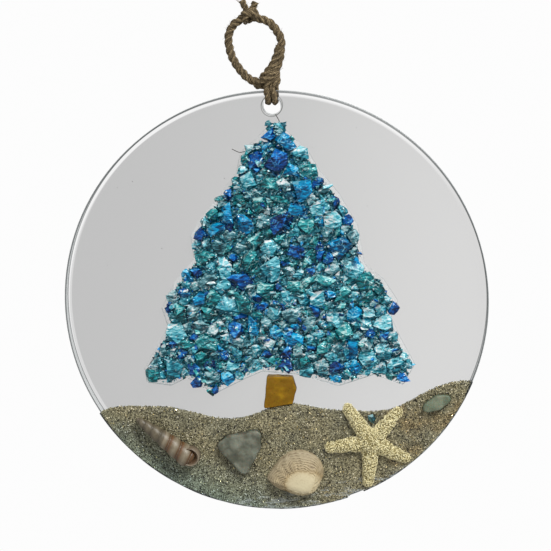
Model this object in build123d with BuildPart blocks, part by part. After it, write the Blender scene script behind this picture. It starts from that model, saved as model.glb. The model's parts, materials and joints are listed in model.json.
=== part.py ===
from build123d import *

import math
import os
import random

# Seaside Christmas ornament: a clear acrylic disc that hangs from jute twine. Its front face
# carries a tree of crushed glass and, along the lower rim, a bed of sand with a spire shell,
# frosted glass, a clam valve and a starfish.
# Frame: the origin is the inside of the loop's top, where a hook bears. +X is right seen from
# the front, +Z is up, and the front looks along -Y. Everything is drawn around the centre of
# the disc's back face and moved to that origin at the end. Lengths are in millimetres, angles
# in degrees.

# --- Disc ---
DISC_RADIUS = 50.8
DISC_THICKNESS = 3.0
DISC_EDGE_BREAK = 0.2
HOLE_RADIUS = 2.1
HOLE_BRIDGE = 1.4
HOLE_Z = DISC_RADIUS - HOLE_BRIDGE - HOLE_RADIUS

# --- Twine ---
TWINE_RADIUS = 1.0
STRAND_RADIUS = 0.75
STRAND_SPACING = 1.56
STRAND_BEND = 1.2
STRAND_TOP_Z = 51.45
STRAND_SLACK = 0.35
FACE_CLEARANCE = 0.1
KNOT_RADIUS = 2.0
KNOT_Z = 53.0
TOP_KNOT_RADIUS = 2.2
TOP_KNOT_X = -4.9
TOP_KNOT_Z = 68.2
KNOT_GAP = 0.1
TAIL_RADIUS = 0.8
TAILS = [(-26, 2.0), (25, 1.6)]

# --- Layers in front of the disc ---
RESIN_THICKNESS = 0.8
SAND_FILM_THICKNESS = 0.4
SAND_THICKNESS = 1.6
POCKET_GAP = 0.05
FACE_PLANE = Plane.XZ.offset(DISC_THICKNESS)
RESIN_PLANE = FACE_PLANE.offset(RESIN_THICKNESS)
FILM_PLANE = FACE_PLANE.offset(SAND_FILM_THICKNESS)
SAND_PLANE = FILM_PLANE.offset(SAND_THICKNESS)

# The tree's outline, clockwise from the left of its tip: four tiers down the right side
# and back up the left, each with a drooping branch end.
TREE_OUTLINE = [
    (-1, 41.8), (2.4, 41.8), (4.8, 39.4), (8.2, 36), (10.6, 31.8), (15.2, 26.2), (19.4, 18.8),
    (21, 9.4), (25.4, 5.8), (28.6, 0.8), (27, -3.2), (29.4, -8.6), (32.6, -14.6), (30.2, -19),
    (23.5, -16.6), (15, -19.4), (5.8, -16.6), (-3.5, -15.8), (-8, -17.8), (-15, -21.3),
    (-21.6, -17.3), (-25.6, -19.3), (-30.8, -18.6), (-31.2, -15.8), (-28.6, -10.8), (-25.2, -5.3),
    (-26.6, -0.8), (-23.6, 5.2), (-18.5, 11.2), (-19.2, 16.7), (-17.6, 19.6), (-12.3, 26.1),
    (-8, 31.8), (-7, 36.3), (-3.8, 39),
]
RESIN_LIP = 0.6

# --- Crushed glass ---
# The chips that stand out in the tree, by colour: (x, z, radius).
FEATURE_CHIPS = {
    "cobalt": [
        (1, 34.7, 2.8), (-4, 34.7, 1.8), (-0.6, 40.9, 1.4), (2, 19.7, 2.5), (-17, 17.2, 1.4),
        (-8, 5.7, 2.3), (5.5, 13.2, 1.9), (3, -14.8, 1.5), (14.5, -15.3, 1.4), (9.5, -1.3, 1.3),
        (28, -0.8, 1.2), (22.5, -6.8, 1.2), (-10, 26.7, 1.1), (11, 12.2, 1.1), (-18.5, 7.7, 1.1),
        (-19, -18.8, 1.3), (-25, -0.8, 1.0), (-12.5, -12.3, 1.1), (-22.5, -11.8, 1.1),
        (30.5, -17.8, 1.1), (8.5, 8.2, 1.0), (-21.5, 3.2, 1.0), (-3.5, 32.2, 0.9), (10.5, 29.2, 1.1),
        (14.5, 24.7, 1.0), (-2, -12.3, 1.1), (26, -7.8, 1.1), (8.5, -10.8, 1.0), (1.5, 4.7, 0.9),
        (-2.5, -0.3, 1.0), (-9.5, 11.2, 1.0), (-19.5, -7.8, 0.9), (-25, -9.8, 0.9),
        (-15, -20.5, 0.9), (-16.5, -14.8, 0.9), (-7.5, -15.3, 0.9),
    ],
    "azure": [
        (3.1, 39.2, 1.7), (-1.2, 37.8, 1.6), (4.5, 31.7, 2.0), (7, 28.2, 2.3), (6, 23.2, 2.0),
        (-7, 19.7, 2.1), (-13.5, 18.2, 1.8), (15.5, 14.2, 2.5), (19, -2.3, 1.9), (-5.5, -4.8, 1.8),
        (0, -6.8, 1.7), (4.5, -7.8, 1.8), (18, -10.8, 2.0), (-13, -10.3, 2.1), (-18, 1.7, 1.4),
        (-11.5, -17.8, 1.6),
    ],
    "aqua": [
        (-25, -15.3, 2.5), (13.5, -12.8, 2.3), (-0.5, 8.7, 2.3), (-11, -0.3, 2.2),
        (-17, 3.7, 2.2), (-12, 9.2, 2.1), (14, 20.7, 2.1), (18, 9.2, 2.1), (6, 35.2, 2.0),
        (29, -14.8, 1.8), (-0.5, -1.8, 1.8), (-1, 13.7, 1.7), (-9.5, -12.3, 1.6),
        (22.5, -1.8, 1.5), (19.5, -4.8, 1.4), (7.5, -16.2, 1.4), (-5, -15, 1.3), (-5.5, -7.8, 1.2),
    ],
    "teal": [
        (-8, 25.2, 2.2), (8.5, 18.7, 2.0), (-16, -2.3, 2.0), (-1, 28.7, 1.9), (-2.5, 4.2, 1.9),
        (-3.5, 24.2, 1.9), (2, 25.7, 1.7), (-7, 0.2, 1.7), (5.5, 4.2, 1.8), (16.5, 2.7, 1.8),
        (-18, -12.8, 1.8), (7, -13.8, 1.7), (12, 6.2, 1.7), (22, 2.2, 1.5), (1.5, 16.2, 1.4),
    ],
    "clear": [(1.5, 42.1, 0.75), (12, 27.7, 1.1), (13, 17.2, 1.5), (-5.2, 37.6, 1.1), (-7.5, 14.2, 1.4)],
}
# What fills the rest, largest first: (smallest radius, largest radius, tries). A chip may
# stand over the outline by the part of its radius that EDGE_SHARE leaves free.
FILL_SIZES = [(1.5, 2.0, 600), (1.1, 1.4, 2500), (0.75, 1.0, 6000)]
FILL_COLOURS = {"cobalt": 2, "azure": 1, "aqua": 5, "teal": 5, "clear": 7}
EDGE_SHARE = 0.7
GRIT_RADIUS = 1.02
CHIP_SIDES = 9
CHIP_REACH = 1.35
CHIP_GAP = 0.14
SHORTEST_EDGE = 0.35
# The height goes up one step for each HEIGHT_STEP_RADIUS of a chip's radius.
CHIP_HEIGHTS = (1.0, 1.5, 2.0, 2.5)
HEIGHT_STEP_RADIUS = 0.7
CHIP_TAPER = 10
CHIP_SEED = 12

# --- Sand and what lies on it ---
# The top of the sand from the left rim to the right: a low dune on each side.
SAND_LINE = [
    (-46, -29.5), (-40.5, -25.6), (-33, -25.1), (-25, -25.5), (-14, -28), (-6, -27.3), (2, -24.4),
    (10, -25.4), (20, -26.3), (28, -25.6), (36, -21.5), (43, -19), (50, -19.7),
]
SAND_RIM_GAP = 0.3
RIM_NICK_ANGLE = -68
RIM_NICK_RADIUS = 3.0
RIM_NICK_OUT = 0.6

TRUNK_CORNERS = [(-2.1, -17.2), (4.1, -17.4), (4.9, -20.6), (3.9, -24.1), (-3, -25.3)]
TRUNK_THICKNESS = 2.6
TRUNK_ROUND = 0.35

AUGER_APEX = (-33.7, -27.2)
AUGER_END = (-20.4, -37.7)
AUGER_RADIUS = 2.75
AUGER_WHORLS = 7
# Each whorl is longer than the last, and the spire swells fast at first, then slowly.
WHORL_GROWTH = 1.4
SPIRE_FULLNESS = 0.45
# A whorl's profile as shares of its own length and of its widest radius.
WHORL_SHOULDER = (0.35, 0.96)
WHORL_WAIST = (0.8, 1.0)
WHORL_SEAM = (1.0, 0.86)
AUGER_SINK = 0.7

CLAM_CENTRE = (4.5, -41.2)
CLAM_OUTLINE = [
    (-7.1, -0.9), (-4.7, 2.6), (-1.9, 5.1), (1.1, 5.8), (4.3, 4.8), (6.4, 2.4), (6.8, -0.4),
    (5.7, -3.1), (4.4, -5), (1.9, -5.7), (-1.6, -5.1), (-4.8, -3.3),
]
CLAM_HALF_WIDTH = 7.0
CLAM_HEIGHT = 4.4
CLAM_WALL = 0.9
# The heights of the dome's sections as shares of the height where it would close.
CLAM_STEPS = (0, 0.45, 0.75, 0.92)

STARFISH_CENTRE = (22.8, -33.5)
STARFISH_ARMS = [(50, 11.0), (124, 11.2), (188, 11.3), (265, 11.2), (334, 10.2)]
STARFISH_MIDDLE_RADIUS = 2.7
STARFISH_ARM_ROOT = 2.2
STARFISH_ARM_TIP = 1.2

GLASS_SINK = 0.4
LEFT_GLASS_CORNERS = [(-15, -34.3), (-12.4, -31.9), (-3.5, -30.1), (-3.8, -34.8), (-7.7, -42.3)]
LEFT_GLASS_ROUND = 1.3
LEFT_GLASS_THICKNESS = 2.4
RIGHT_GLASS_CENTRE = (38.5, -23.7)
RIGHT_GLASS_SIZE = (7.2, 3.4)
RIGHT_GLASS_TILT = 27
RIGHT_GLASS_THICKNESS = 2.0
CRUMB_CENTRE = (22.9, -27.6)
CRUMB_RADIUS = 1.1
CRUMB_HEIGHT = 0.9
GLASS_EDGE_ROUND = 0.6


# --- Where the glass chips go ---


def room_inside(x, z, outline):
    """Distance from a point to the outline, or -1 outside it."""
    inside = False
    nearest = math.inf
    for (ax, az), (bx, bz) in zip(outline, outline[1:] + outline[:1]):
        if (az > z) != (bz > z) and x < ax + (z - az) / (bz - az) * (bx - ax):
            inside = not inside
        length_squared = (bx - ax) ** 2 + (bz - az) ** 2
        along = ((x - ax) * (bx - ax) + (z - az) * (bz - az)) / length_squared
        along = min(1, max(0, along))
        nearest = min(nearest, math.dist((x, z), (ax + along * (bx - ax), az + along * (bz - az))))
    return nearest if inside else -1


def scatter_chips(rng):
    """Chips as (colour, x, z, radius) whose circles don't overlap: the feature chips first,
    then random ones from large to small until the tree is full."""
    chips = []

    def room_among(x, z):
        return min((math.dist((x, z), (cx, cz)) - cr for _, cx, cz, cr in chips), default=9)

    for colour, features in FEATURE_CHIPS.items():
        for x, z, radius in features:
            chips.append((colour, x, z, min(radius, room_among(x, z))))
    left, right = min(x for x, _ in TREE_OUTLINE), max(x for x, _ in TREE_OUTLINE)
    low, high = min(z for _, z in TREE_OUTLINE), max(z for _, z in TREE_OUTLINE)
    for smallest, largest, tries in FILL_SIZES:
        for _ in range(tries):
            x, z = rng.uniform(left, right), rng.uniform(low, high)
            radius = min(largest, room_among(x, z))
            if radius < smallest or room_inside(x, z, TREE_OUTLINE) < EDGE_SHARE * radius:
                continue
            colour = rng.choices(list(FILL_COLOURS), weights=FILL_COLOURS.values())[0]
            chips.append((colour, x, z, radius))
    return chips


def cut_back(corners, x, z, angle, reach):
    """The part of a convex polygon that lies within reach of (x, z) towards angle."""
    dx, dz = math.cos(angle), math.sin(angle)
    beyond = [(px - x) * dx + (pz - z) * dz - reach for px, pz in corners]
    kept = []
    for i, (px, pz) in enumerate(corners):
        j = (i + 1) % len(corners)
        if beyond[i] <= 0:
            kept.append((px, pz))
        if (beyond[i] < 0) != (beyond[j] < 0):
            part = beyond[i] / (beyond[i] - beyond[j])
            qx, qz = corners[j]
            kept.append((px + part * (qx - px), pz + part * (qz - pz)))
    return kept


def chip_outline(index, chips, rng):
    """A chip's convex outline: a rough circle, cut back halfway to each neighbour."""
    _, x, z, radius = chips[index]
    turn = rng.uniform(0, math.tau)
    out = CHIP_REACH * radius
    corners = []
    for i in range(CHIP_SIDES):
        angle = turn + math.tau * i / CHIP_SIDES
        corners.append((x + out * math.cos(angle), z + out * math.sin(angle)))
    for other, (_, ox, oz, other_radius) in enumerate(chips):
        apart = math.dist((x, z), (ox, oz))
        if other == index or apart > 2 * (radius + other_radius):
            continue
        reach = (apart**2 + radius**2 - other_radius**2) / (2 * apart) - CHIP_GAP / 2
        corners = cut_back(corners, x, z, math.atan2(oz - z, ox - x), reach)
    kept = []
    for corner in corners:
        if all(math.dist(corner, other) > SHORTEST_EDGE for other in kept):
            kept.append(corner)
    return kept


def group_chips():
    """Chip outlines by node and height: {node: {height: [corners, ...]}}."""
    rng = random.Random(CHIP_SEED)
    chips = scatter_chips(rng)
    groups = {}
    for index, (colour, _, _, radius) in enumerate(chips):
        corners = chip_outline(index, chips, rng)
        grit = radius < GRIT_RADIUS and colour in ("cobalt", "clear")
        node = colour + ("_grit" if grit else "_chips")
        rank = int(radius / HEIGHT_STEP_RADIUS) - 1 + rng.choice((0, 1))
        height = CHIP_HEIGHTS[min(len(CHIP_HEIGHTS) - 1, max(0, rank))]
        groups.setdefault(node, {}).setdefault(height, []).append(corners)
    return groups


# --- Disc and twine ---

with BuildPart(Plane.XZ) as clear_disc:
    with BuildSketch(Plane.XZ):
        Circle(DISC_RADIUS)
    extrude(amount=DISC_THICKNESS)
    with Locations((0, HOLE_Z)):
        Hole(HOLE_RADIUS)
    rims = clear_disc.edges().filter_by(GeomType.CIRCLE).sort_by(SortBy.RADIUS)[-2:]
    chamfer(rims, length=DISC_EDGE_BREAK)

# Two strands side by side come up the front face from the hole, and down the back.
STRAND_Z = HOLE_Z + HOLE_RADIUS - FACE_CLEARANCE - STRAND_RADIUS - STRAND_SLACK
STRAND_FRONT_Y = -DISC_THICKNESS - FACE_CLEARANCE - STRAND_RADIUS
STRAND_BACK_Y = FACE_CLEARANCE + STRAND_RADIUS

with BuildPart() as hitch_turn:
    for side in (-1, 1):
        with BuildLine(Plane.YZ.offset(side * STRAND_SPACING / 2)) as strand:
            FilletPolyline(
                (STRAND_FRONT_Y, STRAND_TOP_Z),
                (STRAND_FRONT_Y, STRAND_Z),
                (STRAND_BACK_Y, STRAND_Z),
                (STRAND_BACK_Y, STRAND_TOP_Z),
                radius=STRAND_BEND,
            )
        with BuildSketch(Plane(strand.line @ 0, z_dir=strand.line % 0)):
            Circle(STRAND_RADIUS)
        sweep(path=strand.line)

KNOT_CENTRE = (0, -DISC_THICKNESS / 2, KNOT_Z)
TOP_KNOT_CENTRE = (TOP_KNOT_X, -DISC_THICKNESS / 2, TOP_KNOT_Z)
HOOK_POINT = (TOP_KNOT_X, -DISC_THICKNESS / 2, TOP_KNOT_Z - TOP_KNOT_RADIUS)
LOOP_PLANE = Plane.XZ.offset(DISC_THICKNESS / 2)

with BuildPart() as hitch_knot:
    with Locations(KNOT_CENTRE):
        Sphere(KNOT_RADIUS)

with BuildPart() as loop_knot:
    with Locations(TOP_KNOT_CENTRE):
        Sphere(TOP_KNOT_RADIUS)

# The hanging loop: a wide left leg, a steep right leg, and the bend at the top.
with BuildPart() as twine_loop:
    with BuildLine(LOOP_PLANE) as loop:
        Spline(
            (-1.0, KNOT_Z + 0.3),
            (-6.0, KNOT_Z + 0.5),
            (-9.4, 56.8),
            (-10.9, 62.3),
            (-8.9, 66.7),
            (TOP_KNOT_X, TOP_KNOT_Z),
            (-0.9, 66.7),
            (1.2, 62.3),
            (1.3, 58.3),
            (0.4, KNOT_Z + 1.0),
        )
    with BuildSketch(Plane(loop.line @ 0, z_dir=loop.line % 0)):
        Circle(TWINE_RADIUS)
    sweep(path=loop.line)
    with Locations(KNOT_CENTRE):
        Sphere(KNOT_RADIUS + KNOT_GAP, mode=Mode.SUBTRACT)
    with Locations(TOP_KNOT_CENTRE):
        Sphere(TOP_KNOT_RADIUS, mode=Mode.SUBTRACT)

# The two cut ends of the twine stand up from the top knot, one a little longer.
with BuildPart() as twine_tails:
    for lean, length in TAILS:
        direction = (math.sin(math.radians(lean)), 0, math.cos(math.radians(lean)))
        with Locations(Plane(TOP_KNOT_CENTRE, z_dir=direction).offset(TOP_KNOT_RADIUS)):
            Cylinder(TAIL_RADIUS, length, align=(Align.CENTER, Align.CENTER, Align.MIN))


# --- Tree ---

with BuildPart() as tree_resin:
    with BuildSketch(FACE_PLANE):
        Polygon(*TREE_OUTLINE, align=None)
        offset(amount=RESIN_LIP, kind=Kind.ARC)
    extrude(amount=RESIN_THICKNESS)

glass_nodes = {}
for node, heights in group_chips().items():
    with BuildPart() as glass:
        for height, outlines in heights.items():
            with BuildSketch(RESIN_PLANE):
                for corners in outlines:
                    Polygon(*corners, align=None)
            extrude(amount=height, taper=CHIP_TAPER)
    glass_nodes[node] = glass

with BuildPart() as trunk_glass:
    with BuildSketch(FACE_PLANE) as trunk_outline:
        Polygon(*TRUNK_CORNERS, align=None)
        fillet(trunk_outline.vertices(), radius=TRUNK_ROUND)
    extrude(amount=TRUNK_THICKNESS)
    fillet(trunk_glass.faces().sort_by(Axis.Y)[0].edges(), radius=TRUNK_ROUND)


# --- Things on the sand ---


def lie_on_sand(sink):
    """The plane on which something rests that sinks this far into the sand."""
    return SAND_PLANE.offset(-sink)


def arm_direction(angle):
    """Unit vector of an arm that points this many degrees above +X, in the disc's plane."""
    return Vector(math.cos(math.radians(angle)), 0, math.sin(math.radians(angle)))


STARFISH_ORIGIN = SAND_PLANE.from_local_coords(Vector(*STARFISH_CENTRE))

# Five half-round tapered arms and a domed middle, flat underneath.
with BuildPart() as starfish:
    with Locations(STARFISH_ORIGIN):
        Sphere(STARFISH_MIDDLE_RADIUS)
    for angle, length in STARFISH_ARMS:
        reach = length - STARFISH_ARM_TIP
        with Locations(Plane(STARFISH_ORIGIN, z_dir=arm_direction(angle))):
            Cone(
                STARFISH_ARM_ROOT,
                STARFISH_ARM_TIP,
                reach,
                align=(Align.CENTER, Align.CENTER, Align.MIN),
            )
        with Locations(STARFISH_ORIGIN + reach * arm_direction(angle)):
            Sphere(STARFISH_ARM_TIP)
    split(bisect_by=SAND_PLANE, keep=Keep.TOP)


def auger_profile(grow=0):
    """Half of the shell's section, from its apex along its axis: a row of bulging whorls,
    each longer than the one before. grow makes it fatter and longer all round."""
    length = math.dist(AUGER_APEX, AUGER_END)
    points = [(-2 * grow, 0)]
    for whorl in range(AUGER_WHORLS):
        start = length * (whorl / AUGER_WHORLS) ** WHORL_GROWTH
        end = length * ((whorl + 1) / AUGER_WHORLS) ** WHORL_GROWTH
        widest = AUGER_RADIUS * (end / length) ** SPIRE_FULLNESS
        for along, size in (WHORL_SHOULDER, WHORL_WAIST, WHORL_SEAM):
            points.append((start + along * (end - start), size * widest + grow))
    points.append((length + grow, WHORL_SEAM[1] * AUGER_RADIUS + grow))
    points.append((length + grow, 0))
    return points if grow else points[:-2] + points[-1:]


AUGER_TURN = math.degrees(math.atan2(AUGER_END[1] - AUGER_APEX[1], AUGER_END[0] - AUGER_APEX[0]))
AUGER_AXIS_PLANE = lie_on_sand(AUGER_SINK).offset(AUGER_RADIUS)
AUGER_PLANE = Plane(
    AUGER_AXIS_PLANE.from_local_coords(Vector(*AUGER_APEX)),
    x_dir=(math.cos(math.radians(AUGER_TURN)), 0, math.sin(math.radians(AUGER_TURN))),
    z_dir=(0, -1, 0),
)
AUGER_AXIS = Axis(AUGER_PLANE.origin, AUGER_PLANE.x_dir)

with BuildPart() as auger_shell:
    with BuildSketch(AUGER_PLANE):
        Polygon(*auger_profile(), align=None)
    revolve(axis=AUGER_AXIS)


def dome_sections(share, height):
    """The clam's outline, smaller and smaller on rising planes: (plane, points) from the rim
    up. share scales the outline at the rim, and height is where the dome would close."""
    for step in CLAM_STEPS:
        size = share * math.sqrt(1 - step**2)
        points = [(CLAM_CENTRE[0] + size * x, CLAM_CENTRE[1] + size * z) for x, z in CLAM_OUTLINE]
        yield SAND_PLANE.offset(step * height), points


# One valve, hollow side down on the sand.
with BuildPart() as clam_shell:
    for plane, points in dome_sections(1, CLAM_HEIGHT):
        with BuildSketch(plane):
            with BuildLine():
                Spline(*points, periodic=True)
            make_face()
    loft()
    for plane, points in dome_sections(1 - CLAM_WALL / CLAM_HALF_WIDTH, CLAM_HEIGHT - CLAM_WALL):
        with BuildSketch(plane):
            with BuildLine():
                Spline(*points, periodic=True)
            make_face()
    loft(mode=Mode.SUBTRACT)


def left_glass_outline(grow=0):
    """A wedge of sea glass with its corners worn round, made wider all round by grow."""
    with BuildSketch(mode=Mode.PRIVATE) as outline:
        Polygon(*LEFT_GLASS_CORNERS, align=None)
        fillet(outline.vertices(), radius=LEFT_GLASS_ROUND)
        if grow:
            offset(amount=grow)
    return outline.sketch_local


with BuildPart() as frosted_glass_left:
    with BuildSketch(lie_on_sand(GLASS_SINK)):
        add(left_glass_outline())
    extrude(amount=LEFT_GLASS_THICKNESS)
    fillet(frosted_glass_left.faces().sort_by(Axis.Y)[0].edges(), radius=GLASS_EDGE_ROUND)


def draw_right_glass(grow=0):
    """An oval sea-glass pebble, tilted up to the right."""
    with Locations(Location(RIGHT_GLASS_CENTRE, RIGHT_GLASS_TILT)):
        Ellipse(RIGHT_GLASS_SIZE[0] / 2 + grow, RIGHT_GLASS_SIZE[1] / 2 + grow)


with BuildPart() as frosted_glass_right:
    with BuildSketch(lie_on_sand(GLASS_SINK)):
        draw_right_glass()
    extrude(amount=RIGHT_GLASS_THICKNESS)
    fillet(frosted_glass_right.faces().sort_by(Axis.Y)[0].edges(), radius=GLASS_EDGE_ROUND)

with BuildPart() as teal_crumb:
    with BuildSketch(SAND_PLANE):
        with Locations(CRUMB_CENTRE):
            RegularPolygon(CRUMB_RADIUS, 5)
    extrude(amount=CRUMB_HEIGHT, taper=CHIP_TAPER)


# --- Sand ---


def sand_outline():
    """The bed inside the rim and below the sand line, with a nick at the lower right rim and
    a gap around the trunk's foot."""
    right_x, left_x = SAND_LINE[-1][0], SAND_LINE[0][0]
    nick = math.radians(RIM_NICK_ANGLE)
    nick_reach = DISC_RADIUS + RIM_NICK_RADIUS * RIM_NICK_OUT
    with BuildSketch(mode=Mode.PRIVATE) as outline:
        with BuildLine():
            Spline(*SAND_LINE)
            Polyline(SAND_LINE[-1], (right_x, -DISC_RADIUS), (left_x, -DISC_RADIUS), SAND_LINE[0])
        make_face()
        Circle(DISC_RADIUS - SAND_RIM_GAP, mode=Mode.INTERSECT)
        with Locations((nick_reach * math.cos(nick), nick_reach * math.sin(nick))):
            Circle(RIM_NICK_RADIUS, mode=Mode.SUBTRACT)
        with BuildSketch(mode=Mode.PRIVATE) as trunk_gap:
            Polygon(*TRUNK_CORNERS, align=None)
            offset(amount=POCKET_GAP)
        add(trunk_gap.sketch_local, mode=Mode.SUBTRACT)
    return outline.sketch_local


with BuildPart() as sand_film:
    with BuildSketch(FACE_PLANE):
        add(sand_outline())
    extrude(amount=SAND_FILM_THICKNESS)

with BuildPart() as sand_bed:
    with BuildSketch(FILM_PLANE):
        add(sand_outline())
    extrude(amount=SAND_THICKNESS)
    with BuildSketch(lie_on_sand(GLASS_SINK)):
        add(left_glass_outline(POCKET_GAP))
    extrude(amount=GLASS_SINK, mode=Mode.SUBTRACT)
    with BuildSketch(lie_on_sand(GLASS_SINK)):
        draw_right_glass(POCKET_GAP)
    extrude(amount=GLASS_SINK, mode=Mode.SUBTRACT)
    with BuildSketch(AUGER_PLANE):
        Polygon(*auger_profile(POCKET_GAP), align=None)
    revolve(axis=AUGER_AXIS, mode=Mode.SUBTRACT)


# --- Export: one STEP file per piece, with the origin where the hook bears ---

pieces = {
    "clear_disc": clear_disc,
    "hitch_turn": hitch_turn,
    "hitch_knot": hitch_knot,
    "twine_loop": twine_loop,
    "loop_knot": loop_knot,
    "twine_tails": twine_tails,
    "tree_resin": tree_resin,
    "trunk_glass": trunk_glass,
    "sand_film": sand_film,
    "sand_bed": sand_bed,
    "auger_shell": auger_shell,
    "clam_shell": clam_shell,
    "starfish": starfish,
    "frosted_glass_left": frosted_glass_left,
    "frosted_glass_right": frosted_glass_right,
    "teal_crumb": teal_crumb,
    **glass_nodes,
}
to_hook = Location(-Vector(*HOOK_POINT))
os.makedirs("parts", exist_ok=True)
for label, piece in pieces.items():
    placed = piece.part.moved(to_hook)
    placed.label = label
    export_step(placed, f"parts/{label}.step")
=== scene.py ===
import json
import math

import bmesh
import bpy
import numpy as np
from mathutils import Matrix, Vector, noise


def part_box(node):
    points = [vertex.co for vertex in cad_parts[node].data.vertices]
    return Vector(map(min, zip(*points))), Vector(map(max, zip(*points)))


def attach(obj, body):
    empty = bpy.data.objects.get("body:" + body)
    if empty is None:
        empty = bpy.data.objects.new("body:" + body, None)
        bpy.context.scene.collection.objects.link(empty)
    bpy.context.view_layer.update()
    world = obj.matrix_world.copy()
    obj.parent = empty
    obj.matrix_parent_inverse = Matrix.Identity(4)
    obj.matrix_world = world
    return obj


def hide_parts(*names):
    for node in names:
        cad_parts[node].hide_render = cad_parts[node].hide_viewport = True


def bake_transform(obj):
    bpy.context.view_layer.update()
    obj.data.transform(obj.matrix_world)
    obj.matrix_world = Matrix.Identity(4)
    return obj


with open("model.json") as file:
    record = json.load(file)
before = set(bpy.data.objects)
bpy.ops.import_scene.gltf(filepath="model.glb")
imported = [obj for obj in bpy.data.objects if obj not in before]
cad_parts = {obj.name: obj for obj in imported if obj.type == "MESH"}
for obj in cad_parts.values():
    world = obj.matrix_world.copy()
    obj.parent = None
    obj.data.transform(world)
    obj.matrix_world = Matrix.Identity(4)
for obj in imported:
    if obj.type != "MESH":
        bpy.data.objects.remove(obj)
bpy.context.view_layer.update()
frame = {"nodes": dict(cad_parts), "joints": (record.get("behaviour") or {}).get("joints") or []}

# The looks of a beach ornament: a clear disc on jute twine, with a crushed-glass tree over
# sand, shells, frosted glass and a starfish. Units are metres and the frame is the CAD's: the
# front looks along -Y and +Z is up. Sizes are written in millimetres times MM.

MM = 0.001
NODES = frame["nodes"]

DISC_LOW, DISC_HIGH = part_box("clear_disc")
DISC_RADIUS = (DISC_HIGH.x - DISC_LOW.x) / 2
DISC_CENTRE = Vector(((DISC_LOW.x + DISC_HIGH.x) / 2, DISC_HIGH.y, (DISC_LOW.z + DISC_HIGH.z) / 2))
FACE_Y = DISC_LOW.y
RESIN_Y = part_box("tree_resin")[0].y
SAND_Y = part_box("sand_bed")[0].y
FOLD = next(j for j in frame["joints"] if j["name"] == "fold")
KNOT = Vector(FOLD["pos_m"])
TOP_KNOT = sum(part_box("loop_knot"), Vector()) / 2

# The hole: the points of the disc that are far inside its rim.
hole_points = [
    v.co for v in NODES["clear_disc"].data.vertices
    if math.hypot(v.co.x - DISC_CENTRE.x, v.co.z - DISC_CENTRE.z) < DISC_RADIUS - 1 * MM
]
HOLE_LOW, HOLE_HIGH = min(p.z for p in hole_points), max(p.z for p in hole_points)
HOLE_X = sum(p.x for p in hole_points) / len(hole_points)
HOLE_CENTRE = Vector((HOLE_X, FACE_Y, (HOLE_LOW + HOLE_HIGH) / 2))
HOLE_RADIUS = (HOLE_HIGH - HOLE_LOW) / 2

# The direction from which painted light seems to fill the glass of the tree and its crust.
TREE_LIGHT = (-0.48, 0, 0.88)


# --- Mesh helpers ---


def add_mesh(name, points, faces, material, smooth=False, **channels):
    """A new object from points and faces. Each channel is a list of numbers for the material,
    one for each point or one for each face."""
    mesh = bpy.data.meshes.new(name)
    mesh.from_pydata([tuple(p) for p in points], [], [tuple(f) for f in faces])
    for channel, values in channels.items():
        domain = "POINT" if len(values) == len(points) else "FACE"
        attribute = mesh.attributes.new(channel, "FLOAT", domain)
        attribute.data.foreach_set("value", np.asarray(values, np.float32))
    mesh.materials.append(material)
    if smooth:
        mesh.shade_smooth()
    obj = bpy.data.objects.new(name, mesh)
    bpy.context.scene.collection.objects.link(obj)
    return obj


def grid_faces(rows, columns, caps=False):
    """Quads of a tube of points with rows + 1 rings, its ends closed if caps is true."""
    faces = []
    for row in range(rows):
        first, second = row * columns, (row + 1) * columns
        for column in range(columns):
            after = (column + 1) % columns
            faces.append((first + column, first + after, second + after, second + column))
    if caps:
        faces.append(tuple(reversed(range(columns))))
        faces.append(tuple(rows * columns + column for column in range(columns)))
    return faces


def shade_all(obj, value):
    """Give every point of a piece the same shade."""
    attribute = obj.data.attributes.new("shade", "FLOAT", "POINT")
    attribute.data.foreach_set("value", np.full(len(obj.data.vertices), value, np.float32))


def around(rings, sides):
    """For each point of a tube of rings: its share of the length, and its angle."""
    for ring in range(rings + 1):
        for side in range(sides):
            yield ring / rings, math.tau * side / sides


def clamp(value):
    return min(1, max(0, value))


def convex_hull(points):
    """(points, triangles) of the hull of a cloud of points, as arrays."""
    shell = bmesh.new()
    for point in points:
        shell.verts.new(point)
    made = bmesh.ops.convex_hull(shell, input=shell.verts)
    bmesh.ops.delete(shell, geom=made["geom_interior"], context="VERTS")
    bmesh.ops.recalc_face_normals(shell, faces=shell.faces)
    shell.verts.index_update()
    hull_points = np.array([v.co for v in shell.verts])
    triangles = np.array([[v.index for v in f.verts] for f in shell.faces])
    shell.free()
    return hull_points, triangles


def loose_parts(node):
    """The separate solids of a CAD node, each as an array of its points."""
    mesh = NODES[node].data
    group = list(range(len(mesh.vertices)))

    def root(i):
        while group[i] != i:
            group[i] = group[group[i]]
            i = group[i]
        return i

    seen = {}
    for vertex in mesh.vertices:
        key = tuple(round(c, 7) for c in vertex.co)
        group[root(vertex.index)] = root(seen.setdefault(key, vertex.index))
    for edge in mesh.edges:
        group[root(edge.vertices[0])] = root(edge.vertices[1])
    parts = {}
    for vertex in mesh.vertices:
        parts.setdefault(root(vertex.index), []).append(tuple(vertex.co))
    return [np.array(sorted(set(points))) for points in parts.values()]


def finish_piece(piece, node=None, body="ornament"):
    """Attach a piece to its body, and hide the CAD node that it stands for."""
    if node:
        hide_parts(node)
    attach(piece, body)


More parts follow.
